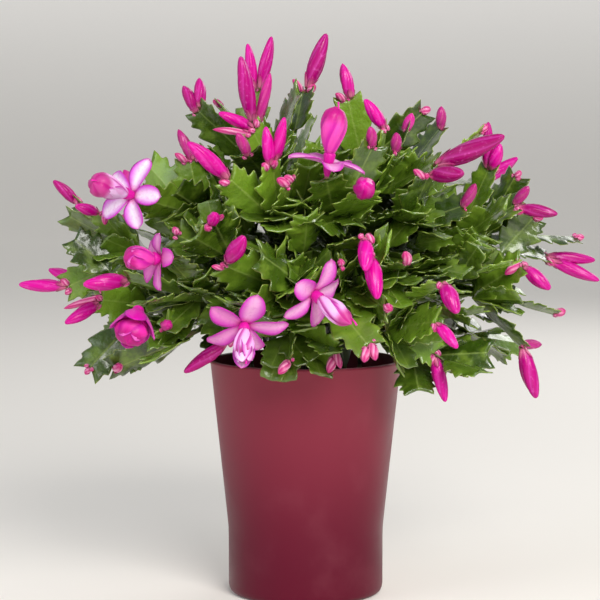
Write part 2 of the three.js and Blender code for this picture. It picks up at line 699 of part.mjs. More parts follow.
// A stem's tips, gathered into boughs of tips that lie near each other
function boughs(tips) {
  const groups = [];
  for (const tip of tips) {
    const way = outward(tip.end);
    const found = groups.find((group) => (
      group.way.dot(way) > Math.cos(BOUGH_ANGLE) && group.tips.length < BOUGH_TIPS));
    if (found) {
      found.tips.push(tip);
    } else {
      groups.push({ way, tips: [tip] });
    }
  }
  for (const group of groups) {
    group.fork = mix(HEART, middle(group.tips.map((tip) => tip.end)), FORK_AT);
  }
  return groups;
}

// Hands the seats on a blade's end to what grows there, in order from left to right
function share(list, last, place) {
  list.sort((a, b) => place(a).dot(last.across) - place(b).dot(last.across));
  list.forEach((one, i) => { one.seat = last.seats[i]; });
}

// A woody foot in the soil, drawn in at its top to the first blade's seat
function foot(stem) {
  const { x, y } = stem.place;
  const ring = (z) => Array.from({ length: FOOT_SIDES }, (_, i) => {
    const angle = 2 * Math.PI * (i + 0.5) / FOOT_SIDES;
    return new THREE.Vector3(x + FOOT_THICK * Math.cos(angle), y + FOOT_THICK * Math.sin(angle), z);
  });
  const top = SOIL_TOP + FOOT_ABOVE;
  const corner = (right, back) => new THREE.Vector3(
    x + right * SEAT_WIDTH / 2, y + back * BLADE_THICK / 2, top);
  const seat = {
    topLeft: corner(-1, -1), topRight: corner(1, -1), lowLeft: corner(-1, 1), lowRight: corner(1, 1),
  };
  const points = [
    ...ring(SOIL_TOP - FOOT_DEPTH), ...ring(top - FOOT_NECK),
    seat.lowRight, seat.lowLeft, seat.topLeft, seat.topRight,
  ];
  const first = 2 * FOOT_SIDES;
  const faces = [[first, first + 1, first + 3], [first + 1, first + 2, first + 3]];
  for (let i = 0; i < FOOT_SIDES; i++) {
    const j = (i + 1) % FOOT_SIDES;
    const low = i + FOOT_SIDES;
    const lowNext = j + FOOT_SIDES;
    const here = first + Math.floor(i / 2);
    const next = i % 2 ? first + ((here - first + 1) % 4) : here;
    faces.push([i, j, lowNext], [i, lowNext, low], [low, lowNext, next]);
    if (next !== here) {
      faces.push([low, next, here]);
    }
    if (i > 1) {
      faces.push([0, i, i - 1]);
    }
  }
  return { points, faces, seat };
}

const material = (color, roughness) => new THREE.MeshStandardMaterial({ color, roughness, metalness: 0 });
const GREEN = material('#4c7f2e', 0.42);
const PINK = material('#dd2aa6', 0.4);
const turned = (profile) => solidOf(new THREE.LatheGeometry(
  profile.map(([r, z]) => new THREE.Vector2(r, z)), POT_SIDES).rotateX(Math.PI / 2));

// Pot: rounded foot, straight base, tapered wall, rolled rim, and the inside down to its floor
function pot() {
  return turned([
    [0, 0], [FOOT_RADIUS - 5, 0], [FOOT_RADIUS - 1.4, 1.6], [FOOT_RADIUS, 6], [FOOT_RADIUS, STRAIGHT],
    [RIM_RADIUS - RIM_ROUND, POT_HEIGHT - RIM_DEPTH], [RIM_RADIUS, POT_HEIGHT - RIM_DEPTH / 2],
    [RIM_RADIUS - RIM_ROUND, POT_HEIGHT], [RIM_RADIUS - WALL + RIM_ROUND, POT_HEIGHT],
    [RIM_RADIUS - WALL, POT_HEIGHT - RIM_DEPTH],
    [FOOT_RADIUS - WALL, STRAIGHT], [FOOT_RADIUS - WALL, FLOOR], [0, FLOOR],
  ]);
}

// Soil: it fills the pot to below the rim and has a plain hole for each stem's foot
function soil(stemList) {
  const part = (SOIL_TOP - STRAIGHT) / (POT_HEIGHT - RIM_DEPTH - STRAIGHT);
  const low = FOOT_RADIUS - WALL - SOIL_INSET;
  const high = low + part * (RIM_RADIUS - FOOT_RADIUS);
  const bottom = FLOOR + GAP;
  let body = turned([
    [0, bottom], [low, bottom], [low, STRAIGHT], [high, SOIL_TOP - SOIL_DOME], [0, SOIL_TOP],
  ]);
  for (const { place } of stemList) {
    const wide = FOOT_THICK + GAP + HOLE_EASE;
    const geometry = new THREE.CylinderGeometry(wide, wide, 2 * (FOOT_DEPTH + GAP), FOOT_SIDES);
    geometry.rotateX(Math.PI / 2).rotateZ(Math.PI / FOOT_SIDES).translate(place.x, place.y, SOIL_TOP);
    body = body.subtract(solidOf(geometry));
  }
  return body;
}

const isFlower = (bear) => typeof bear.what === 'string';

// A bud or flower of its own colour. It stands a hair further out than where it is first clear of its
// blade, which is further for one that leans.
function ownBloom(bear, last, seat, name) {
  const ways = SHIFTS.flatMap(([out, rise]) => SETBACKS.map((back) => () => {
    const point = ahead(bear.point, outward(bear.point), out).add(new THREE.Vector3(0, 0, rise));
    const root = seatMiddle(seat);
    const aside = unit(point.clone().sub(root)).cross(last.along).length();
    const growAt = (far) => (isFlower(bear) ? flower : bud)(
      ahead(root, last.along, far), point, bear.what, bear.phase);
    return { body: growAt(back * aside), stand: () => growAt(back * aside + CLEAR) };
  }));
  const body = clearest(ways, name).stand();
  return { body, cost: crossings(body, name) };
}

// A small bud of one body with its blade
function smallBud(bear, seat, name) {
  const ways = SHIFTS.map(([out, rise]) => () => {
    const point = ahead(bear.point, outward(bear.point), out / 2).add(new THREE.Vector3(0, 0, rise / 2));
    return buttonBud(seat, point, bear.what);
  });
  return clearest(ways, name);
}

// Foot, trunk and boughs of one stem, with a seat for each of its tips
function growStem(stem) {
  const base = foot(stem);
  keep(solid(base), stem.name);
  stem.parts = [[base]];
  base.seat.part = stem.parts[0];
  const root = seatMiddle(base.seat);
  const crown = mix(HEART, middle(stem.tips.map((tip) => tip.end)), CROWN_AT);
  const rise = unit(crown.clone().sub(root));
  const groups = boughs(stem.tips);
  const trunk = settleRun(stem, run(stem, base.seat, arch(root, new THREE.Vector3(0, 0, 1), crown, rise), {
    forms: ['inner'], heads: groups.length, gap: SEAT_WIDTH, fan: 0, slim: TRUNK_SLIM,
  }));
  share(groups, trunk, (group) => group.fork);
  for (const group of groups) {
    const out = unit(group.fork.clone().sub(crown));
    const leave = unit(mix(rise, out, BOUGH_LEAVES));
    const line = arch(seatMiddle(group.seat), leave, group.fork, out);
    const limb = settleRun(stem, run(stem, group.seat, line, {
      forms: ['inner'], heads: group.tips.length, gap: SEAT_WIDTH, slim: BOUGH_SLIM,
      fan: groups.length > 1 ? FAN_ROLL : 0,
    }));
    share(group.tips, limb, (tip) => tip.end);
    for (const tip of group.tips) {
      tip.out = out;
      tip.fan = group.tips.length > 1 ? FAN_ROLL : 0;
    }
  }
}

// One tip's blades, and its buds and flowers. A spare tip that would cross a neighbour is left out.
function growTip({ stem, seat, end, heading, bears, spare, out, fan }) {
  const root = seatMiddle(seat);
  const before = grown.length;
  const leave = unit(mix(out, unit(end.clone().sub(root)), TIP_LEAVES));
  const blades = run(stem, seat, arch(root, leave, end, heading), {
    forms: ['fine', 'inner'], heads: Math.max(1, bears.length), gap: BUD_SEAT_WIDTH, fan, slim: 1,
  });
  if (spare && blades.some(({ one }) => one.cost > 0)) {
    grown.length = before;
    return;
  }
  const last = settleRun(stem, blades);
  share(bears, last, (bear) => bear.point);
  for (const bear of bears) {
    const own = isFlower(bear) || bear.what >= OWN_GIRTH;
    const name = own ? `${isFlower(bear) ? 'flower' : 'bud'}_${plant.children.length + 1}` : stem.name;
    const one = own ? ownBloom(bear, last, bear.seat, name) : smallBud(bear, bear.seat, name);
    if (one.cost > 0 && (spare || !own)) {
      continue;
    }
    keep(one.body, name);
    if (own) {
      plant.add(meshOf(name, one.body, PINK));
    } else {
      bear.seat.part.push(one);
    }
  }
}

const plant = new THREE.Group();
const stemList = stems();
const tips = allTips();
for (const tip of tips) {
  const nearness = (stem) => stem.way.dot(outward(tip.end));
  tip.stem = stemList.reduce((best, one) => (nearness(one) > nearness(best) ? one : best));
  tip.stem.tips.push(tip);
}
stemList.forEach(growStem);
const bearing = tips.filter((tip) => !tip.spare && tip.bears.length);
const leafy = tips.filter((tip) => !tip.spare && !tip.bears.length);
[...bearing, ...leafy, ...tips.filter((tip) => tip.spare)].forEach(growTip);
plant.add(meshOf('pot', pot(), material('#8a3848', 0.35)));
plant.add(meshOf('soil', soil(stemList), material('#2b2018', 0.95)));
for (const stem of stemList) {
  const whole = stem.parts.map(stitch).reduce((sum, one) => sum.add(one));
  plant.add(meshOf(stem.name, outerSkin(whole), GREEN));
}

export default plant;
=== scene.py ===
"""Potted christmas cactus: the fine leafy stems, buds, flowers, soil and pot, and the studio round them."""

import math

import bpy
import numpy as np
from mathutils import Matrix, Vector, kdtree


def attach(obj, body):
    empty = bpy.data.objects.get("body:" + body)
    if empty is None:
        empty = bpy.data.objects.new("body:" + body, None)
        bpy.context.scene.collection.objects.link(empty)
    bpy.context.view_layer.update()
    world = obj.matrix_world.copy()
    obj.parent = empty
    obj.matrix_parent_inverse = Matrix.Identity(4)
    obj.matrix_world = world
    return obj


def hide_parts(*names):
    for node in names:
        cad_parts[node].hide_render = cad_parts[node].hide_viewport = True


bl_info = {
    "name": "Potted christmas cactus",
    "version": (1, 0, 0),
    "blender": (4, 5, 0),
    "location": "View3D > Sidebar > Cactus",
    "description": "Fine stems, buds and flowers of a christmas cactus in its pot",
    "category": "Add Mesh",
}

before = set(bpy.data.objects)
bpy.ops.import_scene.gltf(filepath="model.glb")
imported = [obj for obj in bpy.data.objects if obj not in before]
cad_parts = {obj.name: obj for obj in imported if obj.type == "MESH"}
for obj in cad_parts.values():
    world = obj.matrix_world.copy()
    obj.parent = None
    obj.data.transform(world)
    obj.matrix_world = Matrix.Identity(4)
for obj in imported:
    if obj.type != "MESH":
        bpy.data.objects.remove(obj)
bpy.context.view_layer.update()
MM = 0.001
RIGHT, BACK, UP = np.eye(3)

# The pot and its soil, in millimetres, as the solids have them
POT_HEIGHT = 165
RIM_RADIUS = 67.5
RIM_DEPTH = 3
RIM_ROUND = 0.6
FOOT_RADIUS = 54.5
STRAIGHT = 46
WALL = 2.6
FLOOR = 5
SOIL_TOP = 148
SOIL_DOME = 1.5
SOIL_INSET = 0.6
SOIL_SIDES = 120
SOIL_RINGS = 26

# The stems and their blades, as the solids have them
OUTER_STEMS = 8
INNER_STEMS = 4
OUTER_FOOT = 38
INNER_FOOT = 14
OUTER_RISE = math.radians(6)
INNER_RISE = math.radians(56)
FOOT_DEPTH = 18
FOOT_THICK = 3.4
FOOT_ABOVE = 12
FOOT_NECK = 5
BLADE_LENGTH = 41
BLADE_WIDTH = 29
BLADE_THICK = 2
EDGE_THICK = 1
BLADE_FOLD = 2.6
WIDTH_RANGE = (0.9, 0.16)
TRUNK_SLIM = 0.6
BOUGH_SLIM = 0.8
FACE_UPWARDS = 0.9 * UP
SEAT_WIDTH = 3.4
BUD_SEAT_WIDTH = 4.6

# The dome that the plant fills, and how its boughs fork, arch and leave room
HEART = np.array([0.0, 0.0, 195.0])
DOME = np.array([172.0, 164.0, 150.0])
CROWN_AT = 0.24
FORK_AT = 0.74
BOUGH_ANGLE = math.radians(26)
BOUGH_TIPS = 4
BOUGH_LEAVES = 0.7
TIP_LEAVES = 0.6
ARCH_START = 0.33
ARCH_END = 0.36
ARCH_LONGER = 1.06
FILL_TRIES = 220
FILL_LOWEST = -0.22
FILL_RISE = 1.2
FILL_DEPTH = (0.9, 0.12)
FILL_DROOP = 0.35
FILL_FRONT = math.radians(24)
FILL_BACK = math.radians(15)
FRONT_ENDS = -0.1
SPARE_BUDS = [(0.81, 262, 42, "open"), (0.66, 345, 34, 9), (0.3, 345, 18, 6)]
SPARE_LEAN = np.array([0.2, 0.1, 0.1])

# Turns and widths that the solids may have given a blade, and places that they may have given a bud
ROLL_RANGE = 70
FAN_ROLL = 34
ROLLS = [0, 12, -12, 24, -24, 36, -36, 48, -48, 60, -60, 72, -72, 90]
WIDTHS = [1, 0.88, 0.76, 0.64]
OWN_GIRTH = 8
CLEAR = 0.35
SETBACKS = [0.2, 0.5, 0.8, 1.1, 1.4, 1.7]
SHIFTS = [(0, 0), (5, 0), (0, 6), (0, -6), (10, 0), (5, 8), (5, -8), (16, 0), (10, 12), (10, -12)]
SAME_CORNER = 0.06
OWN_SHARE = 0.5

# What the scene adds to the solids: a hanging bud, small buds on bare blade ends, blades inside the dome
HANGING_BUD = {"blade_end": (149, -30, 177), "point": (159, -32, 141), "girth": 10}
BARE_ENDS = 0.45
BUTTON_SIZES = (5, 8)
BUTTON_GIRTH = 0.6
BUTTON_RISE = 0.2
BUD_COMPANIONS = (4.5, 8)
SMALL_BUD_COMPANIONS = (3, 4.5)
COMPANION_GIRTH = 0.68
COMPANION_MISSING = 0.15
COMPANION_ASIDE = 1.6
COMPANION_BELOW = 1.2
COMPANION_LEAN = 0.8
INNER_BLADES = {BOUGH_SLIM: 5, TRUNK_SLIM: 3}
INNER_FAN = 5
INNER_LEAN = (0.55, 0.75)
INNER_ROLL = 60
INNER_REACH = (30, 10)
INNER_WIDTH = (0.72, 0.2)
INNER_LIMIT = 0.93
INNER_CLEARANCE = 12
INNER_OUTWARDS = 0.35
INNER_DROOP = 0.1

# Each use of the repeatable draws, with its salt; where a use has several draws, they count on from it
DRAWS = {
    "roll": 1, "width": 2, "depth": 3, "bloom": 4, "right wave": 11, "left wave": 12, "bulge": 13,
    "fan": 20, "lean": 30, "reach": 40, "inner roll": 50, "inner width": 51,
    "bud twist": 60, "bud tone": 61, "scale turn": 62, "scale length": 63, "scale tone": 64,
    "spread": 70, "ripple": 71, "petal tone": 72, "petal length": 73, "sway": 74, "petal width": 75,
    "blade tone": 110, "missing": 120, "companion size": 130, "companion lean": 140,
    "bare": 150, "button size": 151, "button lean": 152,
}

# Each kind of flower: where its two tiers of petals leave the tube, as a part of the flower's length,
# and its heart of closed petals, as parts of that length with a radius in millimetres
PETALS = 5
PETAL_ROOT = 1.6
FLOWERS = {
    "open": {
        "tiers": [
            {"at": 0.2, "round": 3.2, "turn": 0, "spread": 82, "length": 26, "width": 15, "curl": 0.12},
            {"at": 0.34, "round": 4, "turn": 0.5, "spread": 17, "length": 25, "width": 12, "curl": -0.2},
        ],
        "heart": [(0.58, 6.2), (0.76, 6.4), (0.9, 4.4)],
    },
    "half": {
        "tiers": [
            {"at": 0.2, "round": 3.2, "turn": 0, "spread": 76, "length": 18, "width": 13, "curl": 0.1},
            {"at": 0.36, "round": 4.6, "turn": 0.5, "spread": 24, "length": 17, "width": 12, "curl": -0.3},
        ],
        "heart": [(0.6, 7.2), (0.8, 7.4), (0.93, 5)],
    },
    "opening": {
        "tiers": [
            {"at": 0.12, "round": 4, "turn": 0, "spread": 50, "length": 21, "width": 15, "curl": -0.3},
            {"at": 0.5, "round": 9.2, "turn": 0.5, "spread": 9, "length": 14, "width": 11, "curl": -0.3},
        ],
        "heart": [(0.62, 10.2), (0.8, 9.6), (0.93, 6)],
    },
}
FULL_HEARTS = {
    "flower_1": [(0.55, 6.2), (0.74, 8), (0.88, 7.8), (0.96, 5)],
    "flower_3": [(0.5, 6), (0.7, 8.4), (0.86, 7.6), (0.95, 5)],
}

# How pale each flower's outer and inner petals are, from hot magenta at 0 to near white at 1
PALENESS = {
    "flower_1": (1.0, 0.8), "flower_2": (0.35, 0.1), "flower_3": (0.5, 0.12), "flower_4": (0.5, 0.95),
    "flower_5": (0.4, 0.95), "flower_6": (0.05, 0.05),
}
USUAL_PALENESS = (0.5, 0.5)

# Blade tips on the front half: the end of the last blade, the way that blade points, and what it
# bears. A bud is the place of its point and its girth; a flower has its kind, and its turn on its tube.
TIPS = [
    ((-109, -72, 280), (-0.4, -0.6, 0.6), [(-138, -114, 292, "open", 0.5)]),
    ((-87, -126, 243), (-0.6, -0.7, 0.3), [(-116, -142, 245, "half", 0.6)]),
    ((13, -121, 294), (0.0, -0.4, 0.9), [(19, -127, 341, "open", 0.6)]),
    ((-2, -151, 228), (0.5, -0.8, -0.3), [(28, -177, 206, "open", 0.7)]),
    ((-39, -149, 210), (0.0, -0.9, -0.4), [(-39, -175, 183, "open", 0.5)]),
    ((-107, -121, 213), (-0.5, -0.8, -0.2), [(-114, -141, 190, "opening", 0.4)]),
    ((84, -80, 302), (0.7, -0.5, 0.5), [(129, -102, 322, 13)]),
    ((-159, 10, 273), (-0.8, 0.0, 0.5), [(-177, 5, 290, 8)]),
    ((-140, -30, 269), (-0.7, -0.3, 0.5), [(-157, -40, 274, 8), (-137, -38, 261, 4)]),
    ((-118, -75, 226), (-0.8, -0.5, 0.0), [(-147, -90, 224, 11)]),
    ((-165, -10, 217), (-0.9, -0.2, -0.1), [(-200, -10, 218, 9)]),
    ((-139, -50, 211), (-0.8, -0.4, -0.2), [(-162, -65, 196, 9), (-164, -54, 205, 4)]),
    ((-52, -95, 189), (-0.4, -0.7, -0.4), [(-77, -100, 176, 9)]),
    ((-51, -142, 240), (0.4, -0.7, 0.5), [(-38, -164, 258, 11), (-60, -146, 240, 3)]),
    ((-59, -128, 267), (-0.1, -0.7, 0.7), [(-58, -142, 273, 8), (-53, -136, 272, 3)]),
    ((36, -124, 286), (0.1, -0.8, 0.6), [(36, -152, 292, 14)]),
    ((-75, 15, 339), (-0.5, 0.1, 0.9), [(-84, 15, 358, 7), (-75, 17, 362, 7)]),
    ((-34, -40, 330), (-0.1, -0.3, 0.9), [(-44, -50, 375, 11), (-24, -48, 364, 6)]),
    ((-34, 20, 352), (-0.2, 0.1, 1.0), [(-41, 20, 386, 8), (-24, 20, 391, 9)]),
    ((-1, -25, 352), (0.0, -0.2, 1.0), [(14, -31, 391, 11), (-9, -29, 360, 4)]),
    ((29, -20, 346), (0.2, -0.1, 1.0), [(25, -20, 371, 7), (20, -26, 348, 4)]),
    ((-36, -62, 325), (-0.3, -0.4, 0.9), [(-58, -72, 337, 8), (-62, -70, 326, 4)]),
    ((-49, -115, 294), (-0.3, -0.6, 0.7), [(-76, -129, 318, 11)]),
    ((-79, -35, 304), (-0.6, -0.3, 0.8), [(-87, -35, 326, 6), (-86, -39, 300, 4)]),
    ((-38, -95, 309), (-0.1, -0.5, 0.9), [(-45, -105, 324, 6)]),
    ((-22, -108, 303), (0.0, -0.4, 0.9), [(-26, -116, 328, 8), (-14, -116, 328, 8)]),
    ((53, -60, 325), (0.3, -0.3, 0.9), [(39, -66, 346, 9)]),
    ((43, -88, 314), (0.2, -0.5, 0.9), [(42, -96, 328, 6)]),
    ((60, -68, 311), (0.3, -0.4, 0.8), [(60, -74, 324, 6)]),
    ((68, -20, 324), (0.4, -0.1, 0.9), [(73, -24, 337, 6)]),
    ((95, 12, 326), (0.4, 0.1, 0.9), [(95, 8, 342, 6)]),
    ((79, -92, 295), (0.5, -0.5, 0.7), [(102, -110, 298, 11), (70, -100, 300, 4)]),
    ((128, 0, 297), (0.6, 0.0, 0.8), [(127, -4, 331, 8), (135, -8, 316, 9)]),
    ((105, -62, 274), (0.6, -0.4, 0.7), [(113, -70, 290, 6)]),
    ((144, -22, 273), (0.8, -0.2, 0.5), [(173, -28, 268, 9), (153, -28, 287, 6)]),
    ((170, 18, 235), (1.0, 0.1, 0.0), [(206, 22, 233, 9), (208, 14, 219, 9)]),
    ((147, -32, 233), (0.9, -0.4, 0.0), [(167, -40, 217, 10), (136, -38, 227, 5)]),
    ((34, -146, 258), (0.1, -0.8, -0.5), [(37, -160, 238, 10), (26, -149, 256, 4)]),
    ((38, -142, 247), (-0.3, -0.8, -0.4), [(42, -150, 230, 11)]),
    ((86, -131, 228), (0.6, -0.7, -0.2), [(96, -145, 210, 11)]),
    ((82, -135, 203), (0.6, -0.7, -0.3), [(96, -147, 188, 8)]),
    ((85, -78, 177), (0.6, -0.6, -0.5), [(93, -82, 145, 9)]),
    ((5, -150, 233), (0.0, -0.4, -0.9), []),
    ((-11, -112, 176), (-0.3, -0.6, -0.7), [(-18, -118, 168, 5)]),
    ((18, -112, 181), (0.0, -0.6, -0.8), [(14, -115, 169, 5), (22, -115, 172, 4)]),
    ((39, -149, 190), (0.1, -0.5, -0.9), [(36, -153, 180, 5), (43, -151, 181, 5)]),
    ((60, -105, 171), (-0.2, -0.6, -0.8), []),
    ((75, -80, 153), (0.4, -0.4, -0.8), []),
    ((-28, -144, 246), (0.2, -0.6, 0.7), [(-19, -152, 241, 4)]),
    ((-49, -146, 217), (-0.6, -0.7, -0.2), []),
    ((-5, -50, 350), (-0.1, -0.2, 1.0), []),
    ((-10, -123, 292), (0.4, -0.6, 0.7), [(-14, -132, 293, 4), (-18, -130, 286, 5)]),
    ((13, -100, 290), (-0.1, -0.4, 0.9), []),
    ((135, -50, 273), (0.8, -0.3, 0.6), []),
    ((159, 0, 264), (0.9, -0.1, 0.4), [(166, -3, 261, 4)]),
    ((139, -62, 236), (0.8, -0.4, -0.4), []),
    ((-164, -10, 266), (-0.8, -0.1, 0.6), []),
    ((-160, -20, 250), (-0.8, -0.3, 0.4), []),
    ((-148, -40, 163), (-0.7, -0.4, -0.6), []),
    ((-129, -66, 166), (-0.7, -0.5, -0.5), [(-128, -76, 176, 6), (-120, -76, 176, 5)]),
    ((173, -18, 198), (0.9, -0.2, -0.4), [(180, -21, 201, 5)]),
    ((149, -30, 177), (0.5, -0.3, -0.8), []),
    ((122, -66, 176), (0.7, -0.4, -0.6), []),
    ((80, -10, 337), (0.1, 0.0, 1.0), []),
    ((-93, -88, 198), (-0.8, -0.5, -0.3), [(-90, -98, 199, 6), (-82, -98, 195, 5)]),
    ((-87, -60, 284), (-0.7, -0.4, 0.6), [(-98, -67, 278, 4)]),
    ((-58, -10, 342), (-0.4, -0.1, 0.9), [(-64, -15, 346, 4)]),
    ((52, -142, 252), (0.6, -0.7, -0.2), []),
    ((65, -137, 241), (-0.2, -0.8, 0.4), [(62, -146, 249, 5)]),
    ((50, -146, 214), (-0.2, -0.7, -0.7), []),
    ((22, -147, 241), (-0.2, -0.7, 0.7), []),
    ((-71, -128, 257), (-0.6, -0.7, 0.0), []),
    ((-84, -92, 257), (-0.6, -0.7, 0.2), []),
    ((-108, -10, 300), (-0.7, -0.1, 0.7), []),
    ((122, -5, 324), (0.4, -0.1, 0.9), []),
    ((147, 5, 292), (0.6, 0.0, 0.8), []),
    ((191, 20, 249), (1.0, 0.0, 0.0), []),
]

# One side of a solid blade's outline, as parts of length and half width
SOLID_EDGES = {
    "fine": [(0.15, 0.52), (0.42, 0.98), (0.47, 0.76), (0.73, 1.04), (0.78, 0.74), (1.09, 0.68)],
    "inner": [(0.5, 0.95), (0.57, 0.74), (0.97, 0.62)],
}

# The same outlines with their curves drawn out, from the root to the horn beside the blade's end
FINE_EDGES = {
    "fine": [
        (0.03, 0.15), (0.07, 0.29), (0.11, 0.42), (0.15, 0.53), (0.21, 0.69), (0.28, 0.83), (0.34, 0.93),
        (0.385, 1.0), (0.425, 1.05), (0.437, 0.95), (0.443, 0.84), (0.46, 0.75), (0.49, 0.77), (0.54, 0.87),
        (0.6, 0.97), (0.66, 1.05), (0.71, 1.11), (0.745, 1.13), (0.755, 1.01), (0.757, 0.86), (0.77, 0.75),
        (0.8, 0.74), (0.85, 0.83), (0.89, 0.89), (0.925, 0.9), (0.935, 0.82), (0.945, 0.74), (0.97, 0.71),
        (1.03, 0.75), (1.11, 0.72), (1.085, 0.61), (1.035, 0.47),
    ],
    "inner": [
        (0.04, 0.14), (0.1, 0.3), (0.2, 0.56), (0.3, 0.78), (0.38, 0.9), (0.44, 0.98), (0.475, 1.0),
        (0.49, 0.9), (0.5, 0.79), (0.53, 0.75), (0.6, 0.82), (0.68, 0.9), (0.735, 0.93), (0.75, 0.84),
        (0.762, 0.73), (0.8, 0.71), (0.87, 0.75), (0.94, 0.73), (0.99, 0.66), (0.985, 0.46),
    ],
}

# A fine blade's section: its columns from the rib to the margin, and its half thickness over that reach
COLUMNS = [0.08, 0.32, 0.62, 0.9]
FEW_COLUMNS = [0.1, 0.55, 0.9]
HALF_THICKNESS = ([0, 0.08, 0.32, 0.62, 0.9, 1], [1.05, 0.84, 0.78, 0.66, 0.46, 0])
RIB_LAG = 0.1
TOOTH_CURVE = 1.3
FOLD_CURVE = 1.2
ROOT_EASE = 0.14
ARCH_BULGE = 1.6
WAVE = 0.9
WAVES = 1.7
CRINKLE = 0.28
CRINKLES = 4.3

# How much painted shade a blade gets: by its depth in the dome, more on boughs and trunks, and most on inner
# blades
DEPTH_SHADE = 0.9
DEEPER = {1: 0.0, BOUGH_SLIM: 0.35, TRUNK_SLIM: 0.5}
INNER_SHADE = (0.25, 1.1)
MOST_SHADE = 0.96
TONE_CURVE = 1.8
# Inner blades are also drawn in a darker tone, as painted shade
INNER_TONE = 0.7

# The woody foot: heights from the soil, with its radius as a part of its thickness
FOOT_RINGS = [
    (-FOOT_DEPTH, 1), (-1, 1), (2, 1.03), (5, 0.94), (FOOT_ABOVE - FOOT_NECK, 0.97), (FOOT_ABOVE - 3, 0.75),
    (FOOT_ABOVE - 1, 0.5), (FOOT_ABOVE + 1, 0.36),
]
FOOT_SIDES = 16
FOOT_RIDGES = 5
FOOT_RIDGE = 0.05

# Radius of a closed bud and of a small bud along its length, as a part of half its girth, and of its
# petals round it, from the outer edge of one petal to where it goes under the next
BUD_PROFILE = ([0, 0.02, 0.05, 0.1, 0.17, 0.27, 0.4, 0.52, 0.64, 0.76, 0.86, 0.93, 0.98, 1],
               [0.1, 0.26, 0.36, 0.5, 0.68, 0.88, 1.0, 1.0, 0.93, 0.79, 0.61, 0.45, 0.27, 0.05])
BUTTON_PROFILE = ([0, 0.08, 0.2, 0.35, 0.55, 0.72, 0.86, 0.95, 1],
                  [0.45, 0.66, 0.9, 1.05, 1.08, 0.94, 0.66, 0.34, 0.05])
LOBES = 5
LOBE = [1.05, 1.03, 1.0, 0.95, 0.87]
LOBE_START = 0.08
LOBE_RISE = 0.25
BUD_BEND = 0.03
BUD_TWIST = 0.24
BUD_SCALES = 5
SMALL_BUD_SCALES = 3
SMALL_BUD_SWELL = 1.15
YOUNG_GIRTH = 6

# A scale at a bud's base: its rows, its half angle, and its columns on the outer and the inner face
SCALE_ROWS = np.linspace(0, 1, 6)
SCALE_BASE = 0.03
SCALE_REACH = (0.18, 0.13)
SCALE_ANGLE = 0.62
SCALE_CURVE = 1.6
SCALE_TIP = 0.02
SCALE_FLARE = 0.35
SCALE_OVER = (1.04, 0.18)
SCALE_COLUMNS = np.array([1, 0.5, 0, -0.5, -1, -0.5, 0, 0.5])
SCALE_FACES = np.array([0, 1, 1, 1, 0, -1, -1, -1])
SCALE_THICK = 0.16

# Half width of a petal along its length, as a part of its width, and where its columns lie across it
PETAL_HALF = ([0, 0.12, 0.24, 0.36, 0.48, 0.6, 0.7, 0.79, 0.87, 0.93, 0.97, 1],
              [0.15, 0.25, 0.35, 0.43, 0.48, 0.5, 0.485, 0.44, 0.36, 0.26, 0.15, 0.02])
PETAL_COLUMNS = [1, 0.82, 0.5, 0.2, 0, -0.2, -0.5, -0.82, -1]
PETAL_THICK = 0.42
SIDE_THINNING = 0.6
TIP_THINNING = 0.5
PETAL_HOLLOW = 0.15
PETAL_CREASE = 0.35
CREASE_WIDE = 0.12
PETAL_RIPPLE = 0.4
RIPPLES = 9
PETAL_SWAY = 0.05
TIP_RECURVE = 0.06
RECURVE_FROM = 0.65
CURL_SHORTENS = 0.1
SPREAD_SWING = 14
LENGTH_SWING = 0.3
WIDTH_SWING = 0.2
TONE_SWING = 0.25
PETAL_SUNK = 0.6
HEART_TWIST = 0.35
HEART_RINGS = 15
TUBE_SIDES = 20
TUBE_SHOULDER = 1.5
STYLE_SIDES = 8
STYLE_FROM = 0.8
STYLE_RADII = [0.5, 0.5, 0.5, 0.7]

# What the fourth surface value says of a place on a flower, and on a bud
UPPER, UNDER, CLOSED, TUBE, THREAD = 1.0, 0.7, 0.4, 0.2, 0.0
RIPE, YOUNG, SCALE = 1.0, 0.5, 0.0

# The studio, in metres and watts
SHEET_SIZE = 12
SHEET_SHIFT = 1
SHEET_END = 6.9
SHEET_RISE = 7
SHEET_SWEEP = 2.6
SWEEP_SEGMENTS = 24
AIM = (0, 0, 0.22)
LIGHTS = [
    ("key window", (0.6, -1.65, 1.15), (1.0, 0.9), 42, "#fffdfa"),
    ("side fill", (-1.6, -0.8, 0.9), (1.2, 1.6), 11, "#f2f6ff"),
    ("back rim", (1.2, 1.4, 1.1), (1.6, 1.0), 13, "#ffffff"),
]
WORLD_STRENGTH = 0.43
CAMERA_ASIDE = -0.004
CAMERA_PITCH = math.radians(90 - 4.75)
CAMERA_LENS = 128.6


def array(p):
    return np.array(p, float)


def size(v):
    return math.sqrt(v @ v)


def unit(v):
    return v / size(v)


def mix(a, b, t):
    return a + (b - a) * t


def smooth(t):
    t = np.clip(t, 0, 1)
    return t * t * (3 - 2 * t)


def outward(p):
    return unit(p - HEART)


def chance(p, use, k=0):
    """A repeatable draw between 0 and 1 for a place, a use and a count."""
    wide = math.sin(p[0] * 12.99 + p[1] * 78.23 + p[2] * 37.72 + (DRAWS[use] + k) * 5.31) * 437.58
    return wide - math.floor(wide)


def ranged(span, p, use, k=0):
    """A repeatable draw, where the span has the least value and how much more it can be."""
    return span[0] + span[1] * chance(p, use, k)


def swing(span, p, use, k=0, middle=0.5):
    """A repeatable draw to either side of a middle."""
    return span * (chance(p, use, k) - middle)


def turned(v, axis, degrees):
    """A direction turned about an axis."""
    angle = math.radians(degrees)
    return (v * math.cos(angle) + np.cross(axis, v) * math.sin(angle)
            + axis * (axis @ v) * (1 - math.cos(angle)))


def square(along):
    """Two directions square to a line."""
    helper = UP if abs(along[2]) < 0.9 else RIGHT
    u = unit(np.cross(helper, along))
    return u, np.cross(along, u)


